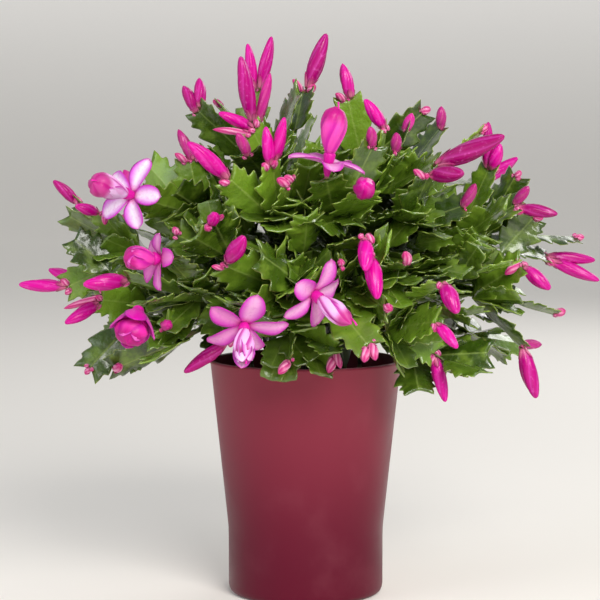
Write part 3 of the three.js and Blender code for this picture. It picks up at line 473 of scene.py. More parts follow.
def seat_middle(seat):
    return (seat["top_left"] + seat["top_right"] + seat["low_left"] + seat["low_right"]) / 4


def blade_end(blade):
    return blade["start"] + blade["along"] * blade["length"]


def axes(seat, to, facing, roll):
    along = unit(to - seat_middle(seat))
    up = turned(unit(facing - along * (facing @ along)), along, roll)
    across = np.cross(along, up)
    if across @ (seat["top_right"] - seat["top_left"]) < 0:
        across, up = -across, -up
    return along, up, across


def arch(start, leave, to, arrive):
    """Points along an arching line that leaves one place in one direction and reaches another."""
    far = size(to - start)
    a, b = start + leave * (ARCH_START * far), to - arrive * (ARCH_END * far)
    count = max(1, math.floor(ARCH_LONGER * far / BLADE_LENGTH + 0.5))
    points = []
    for i in range(1, count + 1):
        t = i / count
        k = 1 - t
        points.append(start * k ** 3 + a * (3 * k * k * t) + b * (3 * k * t * t) + to * t ** 3)
    return points


class Shape:
    """The corners of a node's solid, asked whether a point is one of them."""

    known = {}

    def __init__(self, node):
        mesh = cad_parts[node].data
        self.tree = kdtree.KDTree(len(mesh.vertices))
        for vertex in mesh.vertices:
            self.tree.insert(vertex.co, vertex.index)
        self.tree.balance()

    def share(self, points):
        """The share of the points that are corners of the solid."""
        found = sum(self.tree.find(Vector(p) * MM)[2] < SAME_CORNER * MM for p in points)
        return found / len(points)

    @classmethod
    def of(cls, node):
        if node not in cls.known:
            cls.known[node] = cls(node)
        return cls.known[node]


def blade_plan(seat, to, facing, roll, form, width, heads, gap):
    """Where a blade lies: its axes, its outline's corners and the seats on its end."""
    along, up, across = axes(seat, to, facing, roll)
    start = seat_middle(seat)
    length = size(to - start)
    corners = []
    for s, t in SOLID_EDGES[form]:
        for side in (1, -1):
            p = start + along * (s * length) + across * (side * t * width / 2)
            corners += [p + up * (face * EDGE_THICK / 2 - BLADE_FOLD * t) for face in (1, -1)]
    end = [start + along * length + across * ((heads / 2 - k) * gap) for k in range(heads + 1)]
    half = up * (BLADE_THICK / 2)
    seats = [
        {"top_left": end[k + 1] + half, "top_right": end[k] + half,
         "low_left": end[k + 1] - half, "low_right": end[k] - half, "up": up}
        for k in reversed(range(heads))
    ]
    return {
        "seat": seat, "start": start, "length": length, "along": along, "up": up, "across": across,
        "form": form, "width": width, "end_half": heads * gap / 2, "corners": corners, "seats": seats,
    }


def run(stem, seat, points, forms, heads, gap, fan, slim):
    """A run of blades along a line of points, each turned and as wide as the stem's solid has it."""
    blades = []
    solid = Shape.of(stem["name"])
    for i, to in enumerate(points):
        left = len(points) - 1 - i
        fanned = fan and i == 0
        facing = seat["up"] if fanned else outward(mix(seat_middle(seat), to, 0.5)) + FACE_UPWARDS
        width = slim * BLADE_WIDTH * ranged(WIDTH_RANGE, to, "width")
        roll = fan if fanned else swing(ROLL_RANGE, to, "roll")
        form = forms[min(left, len(forms) - 1)]
        ends = heads if left == 0 else 1
        best = None
        for part in WIDTHS:
            for turn in ROLLS:
                plan = blade_plan(seat, to, facing, roll + turn, form, width * part, ends, gap)
                plan["share"] = solid.share(plan["corners"])
                if best is None or plan["share"] > best["share"]:
                    best = plan
        best["slim"] = slim
        blades.append(best)
        seat = best["seats"][0]
    return blades


def all_stems():
    """Where the stems stand, and which part of the dome each one fills."""
    found = []
    for kind, count, rise, foot, turn in (
        ("outer", OUTER_STEMS, OUTER_RISE, OUTER_FOOT, 0),
        ("inner", INNER_STEMS, INNER_RISE, INNER_FOOT, 0.5),
    ):
        for k in range(count):
            angle = 2 * math.pi * (k + turn) / count
            flat = array((math.sin(angle), -math.cos(angle), 0))
            found.append({
                "name": f"{kind}_stem_{k + 1}", "way": flat * math.cos(rise) + UP * math.sin(rise),
                "place": flat * foot + UP * SOIL_TOP, "tips": [], "blades": [], "buds": [],
            })
    return found


def all_tips():
    """The tips of the front, then more wherever the dome is still open."""
    tips = [
        {"end": array(end), "heading": unit(array(heading)), "spare": False,
         "bears": [{"point": array(bear[:3]), "what": bear[3], "turn": bear[-1]} for bear in bears]}
        for end, heading, bears in TIPS
    ]
    for i in range(FILL_TRIES):
        up = FILL_LOWEST + FILL_RISE * (i + 0.5) / FILL_TRIES
        level = math.sqrt(1 - up * up)
        turn = i * math.pi * (3 - math.sqrt(5))
        way = array((level * math.cos(turn), level * math.sin(turn), up))
        end = HEART + way * DOME * ranged(FILL_DEPTH, way, "depth")
        seen = outward(end)
        open_cos = math.cos(FILL_FRONT if way[1] < FRONT_ENDS else FILL_BACK)
        if all(outward(tip["end"]) @ seen <= open_cos for tip in tips):
            heading = unit(seen - UP * (FILL_DROOP * level))
            tips.append({"end": end, "heading": heading, "bears": spare_buds(end, seen), "spare": True})
    return tips


def spare_buds(end, seen):
    grow = unit(seen + SPARE_LEAN)
    lot = chance(end, "bloom")
    for above, below, far, what in SPARE_BUDS:
        if lot > above and end[2] < below:
            return [{"point": end + grow * far, "what": what, "turn": lot}]
    return []


def middle_of(tips):
    return sum(tip["end"] for tip in tips) / len(tips)


def boughs(tips):
    groups = []
    for tip in tips:
        way = outward(tip["end"])
        for group in groups:
            if group["way"] @ way > math.cos(BOUGH_ANGLE) and len(group["tips"]) < BOUGH_TIPS:
                group["tips"].append(tip)
                break
        else:
            groups.append({"way": way, "tips": [tip]})
    for group in groups:
        group["fork"] = mix(HEART, middle_of(group["tips"]), FORK_AT)
    return groups


def share_seats(listed, last, place):
    listed.sort(key=lambda one: one[place] @ last["across"])
    for one, seat in zip(listed, last["seats"]):
        one["seat"] = seat


def grow_stem(stem):
    """Foot, trunk and boughs of one stem, with a seat for each of its tips."""
    top = stem["place"] + UP * FOOT_ABOVE
    corner = {
        f"{level}_{end}": top + RIGHT * (right * SEAT_WIDTH / 2) + BACK * (back * BLADE_THICK / 2)
        for level, back in (("top", -1), ("low", 1)) for end, right in (("left", -1), ("right", 1))
    }
    root = seat_middle(corner)
    crown = mix(HEART, middle_of(stem["tips"]), CROWN_AT)
    rise = unit(crown - root)
    groups = boughs(stem["tips"])
    line = arch(root, UP, crown, rise)
    trunk = run(stem, corner, line, ["inner"], len(groups), SEAT_WIDTH, 0, TRUNK_SLIM)
    stem["blades"] += trunk
    share_seats(groups, trunk[-1], "fork")
    for group in groups:
        out = unit(group["fork"] - crown)
        line = arch(seat_middle(group["seat"]), unit(mix(rise, out, BOUGH_LEAVES)), group["fork"], out)
        fan = FAN_ROLL if len(groups) > 1 else 0
        limb = run(stem, group["seat"], line, ["inner"], len(group["tips"]), SEAT_WIDTH, fan, BOUGH_SLIM)
        stem["blades"] += limb
        share_seats(group["tips"], limb[-1], "end")
        for tip in group["tips"]:
            tip["out"] = out
            tip["fan"] = FAN_ROLL if len(group["tips"]) > 1 else 0


def grow_tip(tip, blooms):
    """One tip's blades, buds and flowers. A spare tip that the solids don't have is left out."""
    stem = tip["stem"]
    root = seat_middle(tip["seat"])
    leave = unit(mix(tip["out"], unit(tip["end"] - root), TIP_LEAVES))
    line = arch(root, leave, tip["end"], tip["heading"])
    heads = max(1, len(tip["bears"]))
    blades = run(stem, tip["seat"], line, ["fine", "inner"], heads, BUD_SEAT_WIDTH, tip["fan"], 1)
    if tip["spare"] and min(blade["share"] for blade in blades) < OWN_SHARE:
        return
    stem["blades"] += blades
    last = blades[-1]
    if tuple(tip["end"]) == HANGING_BUD["blade_end"]:
        add_stem_bud(stem, last["seats"][0], array(HANGING_BUD["point"]), HANGING_BUD["girth"])
    elif not tip["bears"] and chance(tip["end"], "bare") > BARE_ENDS:
        grow_button(stem, last)
    share_seats(tip["bears"], last, "point")
    for bear in tip["bears"]:
        is_flower = isinstance(bear["what"], str)
        root = seat_middle(bear["seat"])
        if not is_flower and bear["what"] < OWN_GIRTH:
            grow_small_bud(stem, bear)
            continue
        name = f"{'flower' if is_flower else 'bud'}_{len(blooms) + 1}"
        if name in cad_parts:
            found = own_bloom(Shape.of(name), bear, root, last)
            if found or not tip["spare"]:
                blooms.append({
                    "name": name, "kind": bear["what"], "turn": bear["turn"],
                    "from": found[0], "to": found[1], "across": last["across"], "up": last["up"],
                })


def add_stem_bud(stem, seat, point, girth):
    stem["buds"].append({"from": seat_middle(seat), "to": point, "girth": girth, "seat": seat})


def grow_button(stem, last):
    """A small bud on the end of a blade that bears nothing larger."""
    seat = last["seats"][0]
    root = seat_middle(seat)
    long = mix(*BUTTON_SIZES, chance(root, "button size"))
    way = unit(last["along"] + last["across"] * swing(1, root, "button lean") + UP * BUTTON_RISE)
    add_stem_bud(stem, seat, root + way * long, BUTTON_GIRTH * long)


def grow_small_bud(stem, bear):
    """A small bud that the stem's solid has, wherever its point was moved to."""
    for out, rise in SHIFTS:
        point = bear["point"] + outward(bear["point"]) * (out / 2) + UP * (rise / 2)
        if Shape.of(stem["name"]).share([point]):
            add_stem_bud(stem, bear["seat"], point, bear["what"])
            return


def own_bloom(solid, bear, root, last):
    """The base and the point of a bud or flower, as its own solid has them."""
    for out, rise in SHIFTS:
        point = bear["point"] + outward(bear["point"]) * out + UP * rise
        aside = size(np.cross(unit(point - root), last["along"]))
        for back in SETBACKS:
            base = root + last["along"] * (back * aside + CLEAR)
            if solid.share([base, point]) == 1:
                return base, point
    return None


def grow_plant():
    stems = all_stems()
    tips = all_tips()
    for tip in tips:
        tip["stem"] = max(stems, key=lambda stem: stem["way"] @ outward(tip["end"]))
        tip["stem"]["tips"].append(tip)
    for stem in stems:
        grow_stem(stem)
    blooms = []
    tips.sort(key=lambda tip: 2 if tip["spare"] else int(not tip["bears"]))
    for tip in tips:
        grow_tip(tip, blooms)
    return stems, blooms


class Skin:
    """The points, faces and surface values of one piece while it is built."""

    def __init__(self):
        self.points = []
        self.faces = []
        self.values = []
        self.count = 0

    def rings(self, points, *values):
        """Rings of points joined into one closed skin that faces outwards, with four values at each."""
        n, m = points.shape[:2]
        index = np.arange(n * m).reshape(n, m)
        a, b = index[:-1], index[1:]
        quads = np.stack([a, np.roll(a, -1, 1), np.roll(b, -1, 1), b], -1).reshape(-1, 4)
        flat = points.reshape(-1, 3)
        centre = flat.mean(0)
        corner = flat[quads] - centre
        normal = np.cross(corner[:, 2] - corner[:, 0], corner[:, 3] - corner[:, 1])
        caps = [index[0][::-1].tolist(), index[-1].tolist()]
        if (normal * corner.mean(1)).sum() <= 0:
            quads = quads[:, ::-1]
            caps = [cap[::-1] for cap in caps]
        self.faces += (quads + self.count).tolist()
        self.faces += [[i + self.count for i in cap] for cap in caps]
        self.points.append(flat)
        spread = [np.broadcast_to(value, (n, m)) for value in values]
        self.values.append(np.stack(spread, -1).reshape(-1, 4))
        self.count += n * m

    def piece(self, name, material):
        mesh = bpy.data.meshes.new(name)
        mesh.from_pydata(np.concatenate(self.points) * MM, [], self.faces)
        layer = mesh.color_attributes.new("skin", "FLOAT_COLOR", "POINT")
        layer.data.foreach_set("color", np.concatenate(self.values).astype(np.float32).ravel())
        mesh.polygons.foreach_set("use_smooth", np.ones(len(mesh.polygons), bool))
        piece = bpy.data.objects.new(name, mesh)
        bpy.context.collection.objects.link(piece)
        mesh.materials.append(material)
        return piece


def around(spine, u, v, angle, radius):
    """Rings of points round a spine, at angles from u towards v."""
    return spine[:, None] + radius[..., None] * (np.cos(angle)[..., None] * u + np.sin(angle)[..., None] * v)


def full_turn(sides):
    return 2 * math.pi * np.arange(sides) / sides


def bowed(start, axis, aside, s, length, bend):
    """A line of points that bows to one side on its way."""
    return start + axis * (s * length)[:, None] + aside * (bend * length * 4 * s * (1 - s))[:, None]


def add_blade(skin, plan, tone, painted_shade, columns=COLUMNS):
    """One waxy blade: a raised midrib, a fold along it, toothed margins and rounded edges."""
    along, across, length, seat = (plan[name] for name in ("along", "across", "length", "seat"))
    half_width = plan["width"] / 2
    seat_line = seat["top_right"] - seat["top_left"]
    edge = FINE_EDGES[plan["form"]]
    seed = blade_end(plan)
    s = np.array([0] + [point[0] for point in edge] + [1.0])
    x = np.array([size(seat_line) / 2] + [point[1] * half_width for point in edge] + [plan["end_half"]])
    rib = np.maximum.accumulate(np.clip(s - RIB_LAG * x / half_width, 0, 1))
    rib[-1] = 1
    rib += np.linspace(0, 1e-3, len(rib))
    left = [-one for one in columns]
    c = np.array([1] + columns[::-1] + [0] + left + [-1] + left[::-1] + [0] + columns)
    face = np.repeat([0, 1, 0, -1], [1, 2 * len(columns) + 1, 1, 2 * len(columns) + 1])
    reach = np.abs(c)
    aside = x[:, None] * c
    ahead = rib[:, None] + (s - rib)[:, None] * reach ** TOOTH_CURVE
    t = np.abs(aside) / half_width
    phase = np.where(aside > 0, chance(seed, "right wave"), chance(seed, "left wave"))
    bulge = ARCH_BULGE * (2 * chance(seed, "bulge") - 0.7)
    wave = WAVE * t ** 2 * np.sin(2 * math.pi * (WAVES * ahead + phase))
    wave += CRINKLE * t * (2 - t) * np.sin(2 * math.pi * (CRINKLES * ahead + 0.6 * t + 2 * phase))
    lift = face * np.interp(reach, *HALF_THICKNESS) - BLADE_FOLD * t ** FOLD_CURVE
    lift += bulge * 4 * ahead * (1 - ahead) * np.clip(1 - ahead, 0, 1)
    settle = smooth(ahead / ROOT_EASE)[..., None]
    side = seat_line / size(seat_line) * (1 - settle) + across * settle
    side /= np.linalg.norm(side, axis=-1, keepdims=True)
    above = np.cross(side, along)
    above /= np.linalg.norm(above, axis=-1, keepdims=True)
    spine = plan["start"] + along * (ahead * length)[..., None]
    points = spine + side * aside[..., None] + above * (lift + wave)[..., None]
    skin.rings(points, reach, ahead, tone, painted_shade)


def depth(p):
    """How deep in the plant a place lies, from 0 at the dome to 1 at its heart."""
    return float(np.clip(1 - size((p - HEART) / DOME), 0, 1))


def add_foot(skin, stem):
    """The woody foot that stands in the soil and is drawn in to the first blade."""
    height, part = array(FOOT_RINGS).T[:, :, None]
    angle = full_turn(FOOT_SIDES)
    radius = FOOT_THICK * part * (1 + FOOT_RIDGE * np.sin(FOOT_RIDGES * angle + SOIL_TOP + height))
    skin.rings(around(stem["place"] + UP * height, RIGHT, BACK, angle, radius), 0.5, 0.5, 0, 1)


def inner_blades(stem):
    """Shorter blades inside the dome, on the same ends that carry the stem's boughs."""
    found = []
    for blade in stem["blades"]:
        end = blade_end(blade)
        u, v = square(blade["along"])
        for k in range(INNER_BLADES.get(blade["slim"], 0)):
            angle = 2 * math.pi * (k / INNER_FAN + chance(end, "fan", k))
            lean = ranged(INNER_LEAN, end, "lean", k)
            way = unit(blade["along"] + (u * math.cos(angle) + v * math.sin(angle)) * lean)
            far = ranged(INNER_REACH, end, "reach", k)
            start, seat = end, blade["seats"][0]
            for form in ("inner", "fine"):
                to = start + way * far
                if size((to - HEART) / DOME) > INNER_LIMIT or to[2] < SOIL_TOP + INNER_CLEARANCE:
                    break
                roll = swing(INNER_ROLL, to, "inner roll")
                width = BLADE_WIDTH * ranged(INNER_WIDTH, to, "inner width")
                plan = blade_plan(seat, to, outward(to) + FACE_UPWARDS, roll, form, width, 1, SEAT_WIDTH)
                found.append(plan)
                start, seat = to, plan["seats"][0]
                way = unit(way + outward(to) * INNER_OUTWARDS - UP * INNER_DROOP)
    return found


def wrapped(skin, line, u, v, s, radius, seed, tone, part, twist):
    """Closed petals wrapped round each other, each with a free edge that stands a little proud."""
    k = np.arange(LOBES * len(LOBE))
    angle = 2 * math.pi * (k / len(k) + twist * s[:, None] + chance(seed, "bud twist"))
    strength = smooth((s - s[0] - LOBE_START) / LOBE_RISE)[:, None]
    radius = radius[:, None] * (1 + (np.tile(LOBE, LOBES) - 1) * strength)
    skin.rings(around(line, u, v, angle, radius), s[:, None], k % len(LOBE) / (len(LOBE) - 1), tone, part)


def add_bud(skin, start, to, girth, profile, scales, part=RIPE):
    """A closed bud of wrapped petals, with short outer scales round its base."""
    axis = unit(to - start)
    length = size(to - start)
    u, v = square(axis)
    s, radius = array(profile[0]), array(profile[1]) * girth / 2
    line = bowed(start, axis, u, s, length, BUD_BEND)
    wrapped(skin, line, u, v, s, radius, to, chance(to, "bud tone"), part, BUD_TWIST)
    for j in range(scales):
        first = 2 * math.pi * (j / scales + chance(to, "scale turn"))
        rows = np.linspace(SCALE_BASE, ranged(SCALE_REACH, to, "scale length", j), len(SCALE_ROWS))
        along = SCALE_ROWS[:, None]
        wide = SCALE_ANGLE * np.sqrt(np.clip(1 - along ** SCALE_CURVE, 0, 1)) + SCALE_TIP
        flare = SCALE_FLARE * along ** 2
        thick = SCALE_THICK * SCALE_FACES * (1 - 0.5 * along)
        radii = np.interp(rows, s, radius)[:, None] * SCALE_OVER[0] + SCALE_OVER[1] + flare + thick
        line = bowed(start, axis, u, rows, length, BUD_BEND)
        points = around(line, u, v, first + wide * SCALE_COLUMNS, radii)
        skin.rings(points, along, np.abs(SCALE_COLUMNS), chance(to, "scale tone", j), SCALE)


def add_petal(skin, root, side, axis, tier, length, width, seed, tone):
    """One petal: it leaves the tube at its spread angle, hollow along the middle, and curls back or in."""
    spread = math.radians(tier["spread"] + swing(SPREAD_SWING, seed, "spread"))
    along = side * math.sin(spread) + axis * math.cos(spread)
    up = axis * math.sin(spread) - side * math.cos(spread)
    across = np.cross(along, up)
    s, half = array(PETAL_HALF)[:, :, None]
    inner = PETAL_COLUMNS[1:-1]
    c = np.array(PETAL_COLUMNS + inner[::-1])
    face = np.repeat([0, 1, 0, -1], [1, len(inner), 1, len(inner)])
    reach = np.abs(c)
    thick = PETAL_THICK * np.clip(1 - reach ** 2 * SIDE_THINNING, 0, 1) * (1 - TIP_THINNING * s)
    hollow = PETAL_HOLLOW * width * reach ** 2 * np.sin(math.pi * np.clip(s, 0.05, 0.9))
    crease = PETAL_CREASE * np.exp(-(c / CREASE_WIDE) ** 2)
    curl = tier["curl"] * length * s ** 2
    if tier["curl"] > 0:
        curl += TIP_RECURVE * length * smooth((s - RECURVE_FROM) / (1 - RECURVE_FROM))
    ripple = PETAL_RIPPLE * reach * np.sin(RIPPLES * s + 6 * chance(seed, "ripple"))
    lift = hollow - crease + ripple - curl + face * thick
    sway = swing(PETAL_SWAY * width, seed, "sway") * smooth(s)
    far = s * length * (1 - CURL_SHORTENS * tier["curl"] * s)
    aside = half * width * c + sway
    points = root + along * far[..., None] + across * aside[..., None] + up * lift[..., None]
    tone = np.clip(tone + swing(TONE_SWING, seed, "petal tone"), 0, 1)
    skin.rings(points, s, reach, tone, np.where(face >= 0, UPPER, UNDER))


def rounded(knots, count):
    """A smooth line through a few knots, as two arrays."""
    s, r = array(knots).T
    slope = np.gradient(r, s)
    at = mix(s[0], s[-1], np.sin(np.linspace(0, math.pi / 2, count)))
    k = np.clip(np.searchsorted(s, at, "right") - 1, 0, len(s) - 2)
    wide = s[k + 1] - s[k]
    t = (at - s[k]) / wide
    value = (r[k] * (1 + 2 * t) * (1 - t) ** 2 + slope[k] * wide * t * (1 - t) ** 2
             + r[k + 1] * t * t * (3 - 2 * t) + slope[k + 1] * wide * t * t * (t - 1))
    return at, np.maximum(value, 0.05)


def add_flower(skin, bloom):
    """An open or opening flower: receptacle, tube, two layers of petals and a heart of closed petals."""
    kind = FLOWERS[bloom["kind"]]
    start, to = bloom["from"], bloom["to"]
    axis = unit(to - start)
    length = size(to - start)
    u, v = square(axis)
    first, second = kind["tiers"]
    tube = array([
        (0, 0.6), (0.02, 1.3), (0.6 * first["at"], 0.8 * first["round"]), (first["at"], first["round"]),
        (first["at"] + TUBE_SHOULDER / length, first["round"]), (second["at"], second["round"]),
        (second["at"] + TUBE_SHOULDER / length, 0.8 * second["round"]),
    ])
    at, radius = tube.T[:, :, None]
    skin.rings(around(start + axis * (at * length), u, v, full_turn(TUBE_SIDES), radius), at, 0.2, 0.5, TUBE)
    heart = FULL_HEARTS.get(bloom["name"], kind["heart"])
    pale = PALENESS.get(bloom["name"], USUAL_PALENESS)
    s, radius = rounded([(second["at"], 0.7 * second["round"]), *heart, (1, 0.2)], HEART_RINGS)
    line = start + axis * (s * length)[:, None]
    wrapped(skin, line, u, v, s, radius, start, pale[1], CLOSED, HEART_TWIST)
    for tier, tone in zip(kind["tiers"], pale):
        for i in range(PETALS):
            turn = 2 * math.pi * (i + 0.5 + tier["turn"] + bloom["turn"]) / PETALS
            side = u * math.cos(turn) + v * math.sin(turn)
            flat = tier["round"] * math.cos(math.pi / PETALS)
            root = start + axis * (tier["at"] * length + PETAL_ROOT / 2) + side * flat
            seed = root + side
            long = tier["length"] * (1 + swing(LENGTH_SWING, seed, "petal length", middle=0.6))
            wide = tier["width"] * (1 + swing(WIDTH_SWING, seed, "petal width"))
            add_petal(skin, root - side * PETAL_SUNK, side, axis, tier, long, wide, seed, tone)
    if bloom["kind"] == "open":
        add_style(skin, start + axis * (STYLE_FROM * length), to, axis, side)


def add_style(skin, root, to, axis, side):
    """The thin style, which pushes out beside the closed petals before they part."""
    line = np.array([root, mix(root, to, 0.6) + side * 3, to + side * 2.4, to + axis * 3 + side * 1.6])
    ahead = [unit(line[min(i + 1, 3)] - line[max(i - 1, 0)]) for i in range(4)]
    u, v = array([square(one) for one in ahead]).transpose(1, 0, 2)[:, :, None]
    radius = array(STYLE_RADII)[:, None]
    skin.rings(around(line, u, v, full_turn(STYLE_SIDES), radius), 0.9, 0.9, 0.5, THREAD)


def add_companions(skin, start, to, across, up, sizes, scales):
    """The tiny buds that stand beside a larger bud on the same blade end."""
    axis = unit(to - start)
    for k, sign in enumerate((1, -1)):
        if chance(start, "missing", k) >= COMPANION_MISSING:
            long = mix(*sizes, chance(start, "companion size", k))
            aside = unit(across * sign + up * swing(1, start, "companion lean", k, 0.3))
            root = start + aside * COMPANION_ASIDE - axis * COMPANION_BELOW
            point = root + unit(axis + aside * COMPANION_LEAN) * long
            add_bud(skin, root, point, COMPANION_GIRTH * long, BUTTON_PROFILE, scales, YOUNG)


def linear(hex_colour):
    """An sRGB hex colour as linear red, green, blue and full cover."""
    parts = [int(hex_colour[i:i + 2], 16) / 255 for i in (1, 3, 5)]
    return tuple(c / 12.92 if c <= 0.04045 else ((c + 0.055) / 1.055) ** 2.4 for c in parts) + (1.0,)


def put(tree, kind, inputs=None, **settings):
    """Adds one node with its settings. An input that is given a socket is linked, and any other is set."""
    node = tree.nodes.new(kind)
    for name, value in settings.items():
        setattr(node, name, value)
    for name, value in (inputs or {}).items():
        if isinstance(value, bpy.types.NodeSocket):
            tree.links.new(value, node.inputs[name])
        else:
            node.inputs[name].default_value = value
    return node


def laid_over(tree, colour, *coats):
    """A colour with coats over it. A coat has the value that sets how strongly it covers, and its colour.
    It can also have the two levels between which that value counts, and its least and its most cover."""
    for cover, tint, *levels in coats:
        if levels:
            rise = {"Value": cover, **dict(enumerate(levels, 1))}
            cover = put(tree, "ShaderNodeMapRange", rise, interpolation_type="SMOOTHSTEP").outputs["Result"]
        under, over = (linear(one) if isinstance(one, str) else one for one in (colour, tint))
        mixed = put(tree, "ShaderNodeMix", {0: cover, 6: under, 7: over}, data_type="RGBA")
        colour = mixed.outputs[2]
    return colour


def new_material(name, **constants):
    """A material with its shader's constant values, and the places that its pattern reads."""
    material = bpy.data.materials.new(name)
    material.use_nodes = True
    tree = material.node_tree
    shader = tree.nodes["Principled BSDF"]
    for socket, value in constants.items():
        shader.inputs[socket.replace("_", " ")].default_value = value
    return material, tree, shader, put(tree, "ShaderNodeTexCoord").outputs["Object"]


def skin_values(tree):
    """The piece's own four surface values."""
    source = put(tree, "ShaderNodeAttribute", attribute_name="skin")
    parts = put(tree, "ShaderNodeSeparateColor", {"Color": source.outputs["Color"]})
    return parts.outputs["Red"], parts.outputs["Green"], parts.outputs["Blue"], source.outputs["Alpha"]


def cactus_skin(palette):
    # Waxy living skin: fleshy, with a clear soft gloss, yellow-green margins and a pale rib. It has painted
    # shade inside the plant, and is woody brown at the foot.
    material, tree, shader, place = new_material(
        "waxy cactus skin", IOR=1.45, Subsurface_Weight=0.05, Subsurface_Scale=0.004,
        Subsurface_Radius=(0.6, 1.0, 0.25), Coat_Weight=0.7, Coat_Roughness=0.15)
    reach, ahead, tone, painted_shade = skin_values(tree)
    # Mottling of about 12 mm, and pores of about 1 mm, drawn coarser than the real ones so that they show
    mottle = put(tree, "ShaderNodeTexNoise", {"Vector": place, "Scale": 85.0, "Detail": 3.0}).outputs["Fac"]
    pores = put(tree, "ShaderNodeTexNoise", {"Vector": place, "Scale": 1000.0, "Detail": 2.0}).outputs["Fac"]
    # Soft wrinkles in the flesh, about 5 mm apart, which break up the gloss
    folds = put(tree, "ShaderNodeTexNoise", {"Vector": place, "Scale": 200.0, "Detail": 3.0}).outputs["Fac"]
    green = laid_over(
        tree, palette.leaf_dark,
        (tone, palette.leaf_light),
        (mottle, "#84a230", 0.45, 0.7, 0.0, 0.45),
        (reach, palette.leaf_margin, 0.94, 1.0, 0.0, 0.42),
        (reach, "#a9bd66", 0.09, 0.0, 0.0, 0.3),
        # Painted shade: darker the deeper the blade lies in the plant
        (painted_shade, "#1a2008", 0.3, 0.95, 0.0, 0.8),
        # The top of the painted-shade value marks the woody foot, which has its own brown colour
        (painted_shade, "#5d5138", 0.97, 1.0),
    )
    rough = put(tree, "ShaderNodeMapRange", {"Value": mottle, 1: 0.3, 2: 0.7, 3: 0.24, 4: 0.42},
                interpolation_type="SMOOTHSTEP")
    fine = put(tree, "ShaderNodeBump", {"Height": pores, "Strength": 0.15, "Distance": 0.0004})
    coarse = put(tree, "ShaderNodeBump", {"Height": folds, "Normal": fine.outputs["Normal"],
                                          "Strength": 0.55, "Distance": 0.002})
    tree.links.new(green, shader.inputs["Base Color"])
    tree.links.new(rough.outputs["Result"], shader.inputs["Roughness"])
    tree.links.new(coarse.outputs["Normal"], shader.inputs["Normal"])
    return material


def bud_petals(palette):
    # Closed satin petals: magenta, with a painted highlight over each wrapped petal and painted gleam in pale
    # streaks, and dusky scales at the base
    material, tree, shader, place = new_material(
        "satin bud petals", IOR=1.42, Roughness=0.3, Specular_IOR_Level=0.25, Subsurface_Weight=0.04,
        Subsurface_Scale=0.003, Subsurface_Radius=(1.0, 0.2, 0.7), Coat_Weight=0.1, Coat_Roughness=0.16)
    along, wrap, tone, part = skin_values(tree)
    # Fine streaks along the petals, about 2 mm apart: real relief, and a painted gleam in their pale colour
    streaks_and_painted_gleam = put(tree, "ShaderNodeTexNoise", {"Vector": place, "Scale": 420.0, "Detail": 2.0}).outputs["Fac"]
    ripe = laid_over(
        tree, "#94005e",
        (tone, palette.bud),
        # Painted highlight, paler over each petal towards where it goes under the next
        (wrap, "#ea5ccd", 0.5, 1.0, 0.0, 0.24),
        # Painted gleam in pale streaks
        (streaks_and_painted_gleam, "#f480da", 0.56, 0.76, 0.0, 0.24),
        (along, "#dd86a0", 0.26, 0.05, 0.0, 0.5),
        (along, "#7d6040", 0.06, 0.02, 0.0, 0.85),
    )
    scale = laid_over(tree, "#c8688a", (along, "#a40a68", 0.3, 1.0), (along, "#8d6f50", 0.2, 0.0))
    young = laid_over(tree, "#e08cb2", (wrap, "#c23a7e", 0.1, 0.9), (along, "#b8146e", 0.55, 0.95, 0.0, 0.8))
    colour = laid_over(tree, scale, (part, young, 0.1, 0.3), (part, ripe, 0.65, 0.85))
    relief = put(tree, "ShaderNodeBump", {"Height": streaks_and_painted_gleam, "Strength": 0.2, "Distance": 0.0003})
    tree.links.new(colour, shader.inputs["Base Color"])
    tree.links.new(relief.outputs["Normal"], shader.inputs["Normal"])
    return material


def open_petals(palette):
    # Thin silky petals: lilac-pink with a near-white middle, partly their own pale colour and partly a
    # painted highlight, and magenta along the edges and the tube
    material, tree, shader, place = new_material(
        "silky open petals", IOR=1.4, Roughness=0.4, Specular_IOR_Level=0.3, Subsurface_Weight=0.2,
        Subsurface_Scale=0.004, Subsurface_Radius=(1.0, 0.4, 0.9), Sheen_Weight=0.04)
    along, across, tone, part = skin_values(tree)
    # Fine veins along the petals, about 2 mm apart
    veins = put(tree, "ShaderNodeTexNoise", {"Vector": place, "Scale": 500.0, "Detail": 2.0}).outputs["Fac"]
    edge = laid_over(tree, "#bd0d94", (tone, palette.petal_edge))
    upper = laid_over(
        tree, "#d822a8",
        # The near-white middle is partly the petal's own paleness and partly a painted highlight
        (tone, palette.petal_middle),
        (across, edge, 0.1, 0.95),
        (veins, "#c93bb4", 0.45, 0.75, 0.0, 0.3),
        (across, "#c0189c", 0.78, 1.0, 0.0, 0.85),
        (along, palette.throat, 0.3, 0.0, 0.0, 0.8),
        (along, "#c21a9b", 0.85, 1.0, 0.0, 0.6),
    )
    under = laid_over(tree, "#d0049c", (tone, "#f2c4f4"), (across, "#bb109a", 0.45, 1.0, 0.0, 0.9))
    closed = laid_over(
        tree, "#d80098",
        (tone, "#f4baf2"),
        (across, "#bb0c94", 0.4, 0.95, 0.0, 0.9),
        (along, "#b00474", 0.74, 0.88, 0.0, 0.9),
    )
    tube = laid_over(tree, palette.throat, (along, "#7d6a4a", 0.06, 0.02))
    colour = laid_over(
        tree, "#d81f9c",
        (part, tube, 0.05, 0.15),
        (part, closed, 0.25, 0.35),
        (part, under, 0.5, 0.6),
        (part, upper, 0.8, 0.9),
    )
    relief = put(tree, "ShaderNodeBump", {"Height": veins, "Strength": 0.15, "Distance": 0.0003})
    tree.links.new(colour, shader.inputs["Base Color"])
    tree.links.new(relief.outputs["Normal"], shader.inputs["Normal"])
    return material


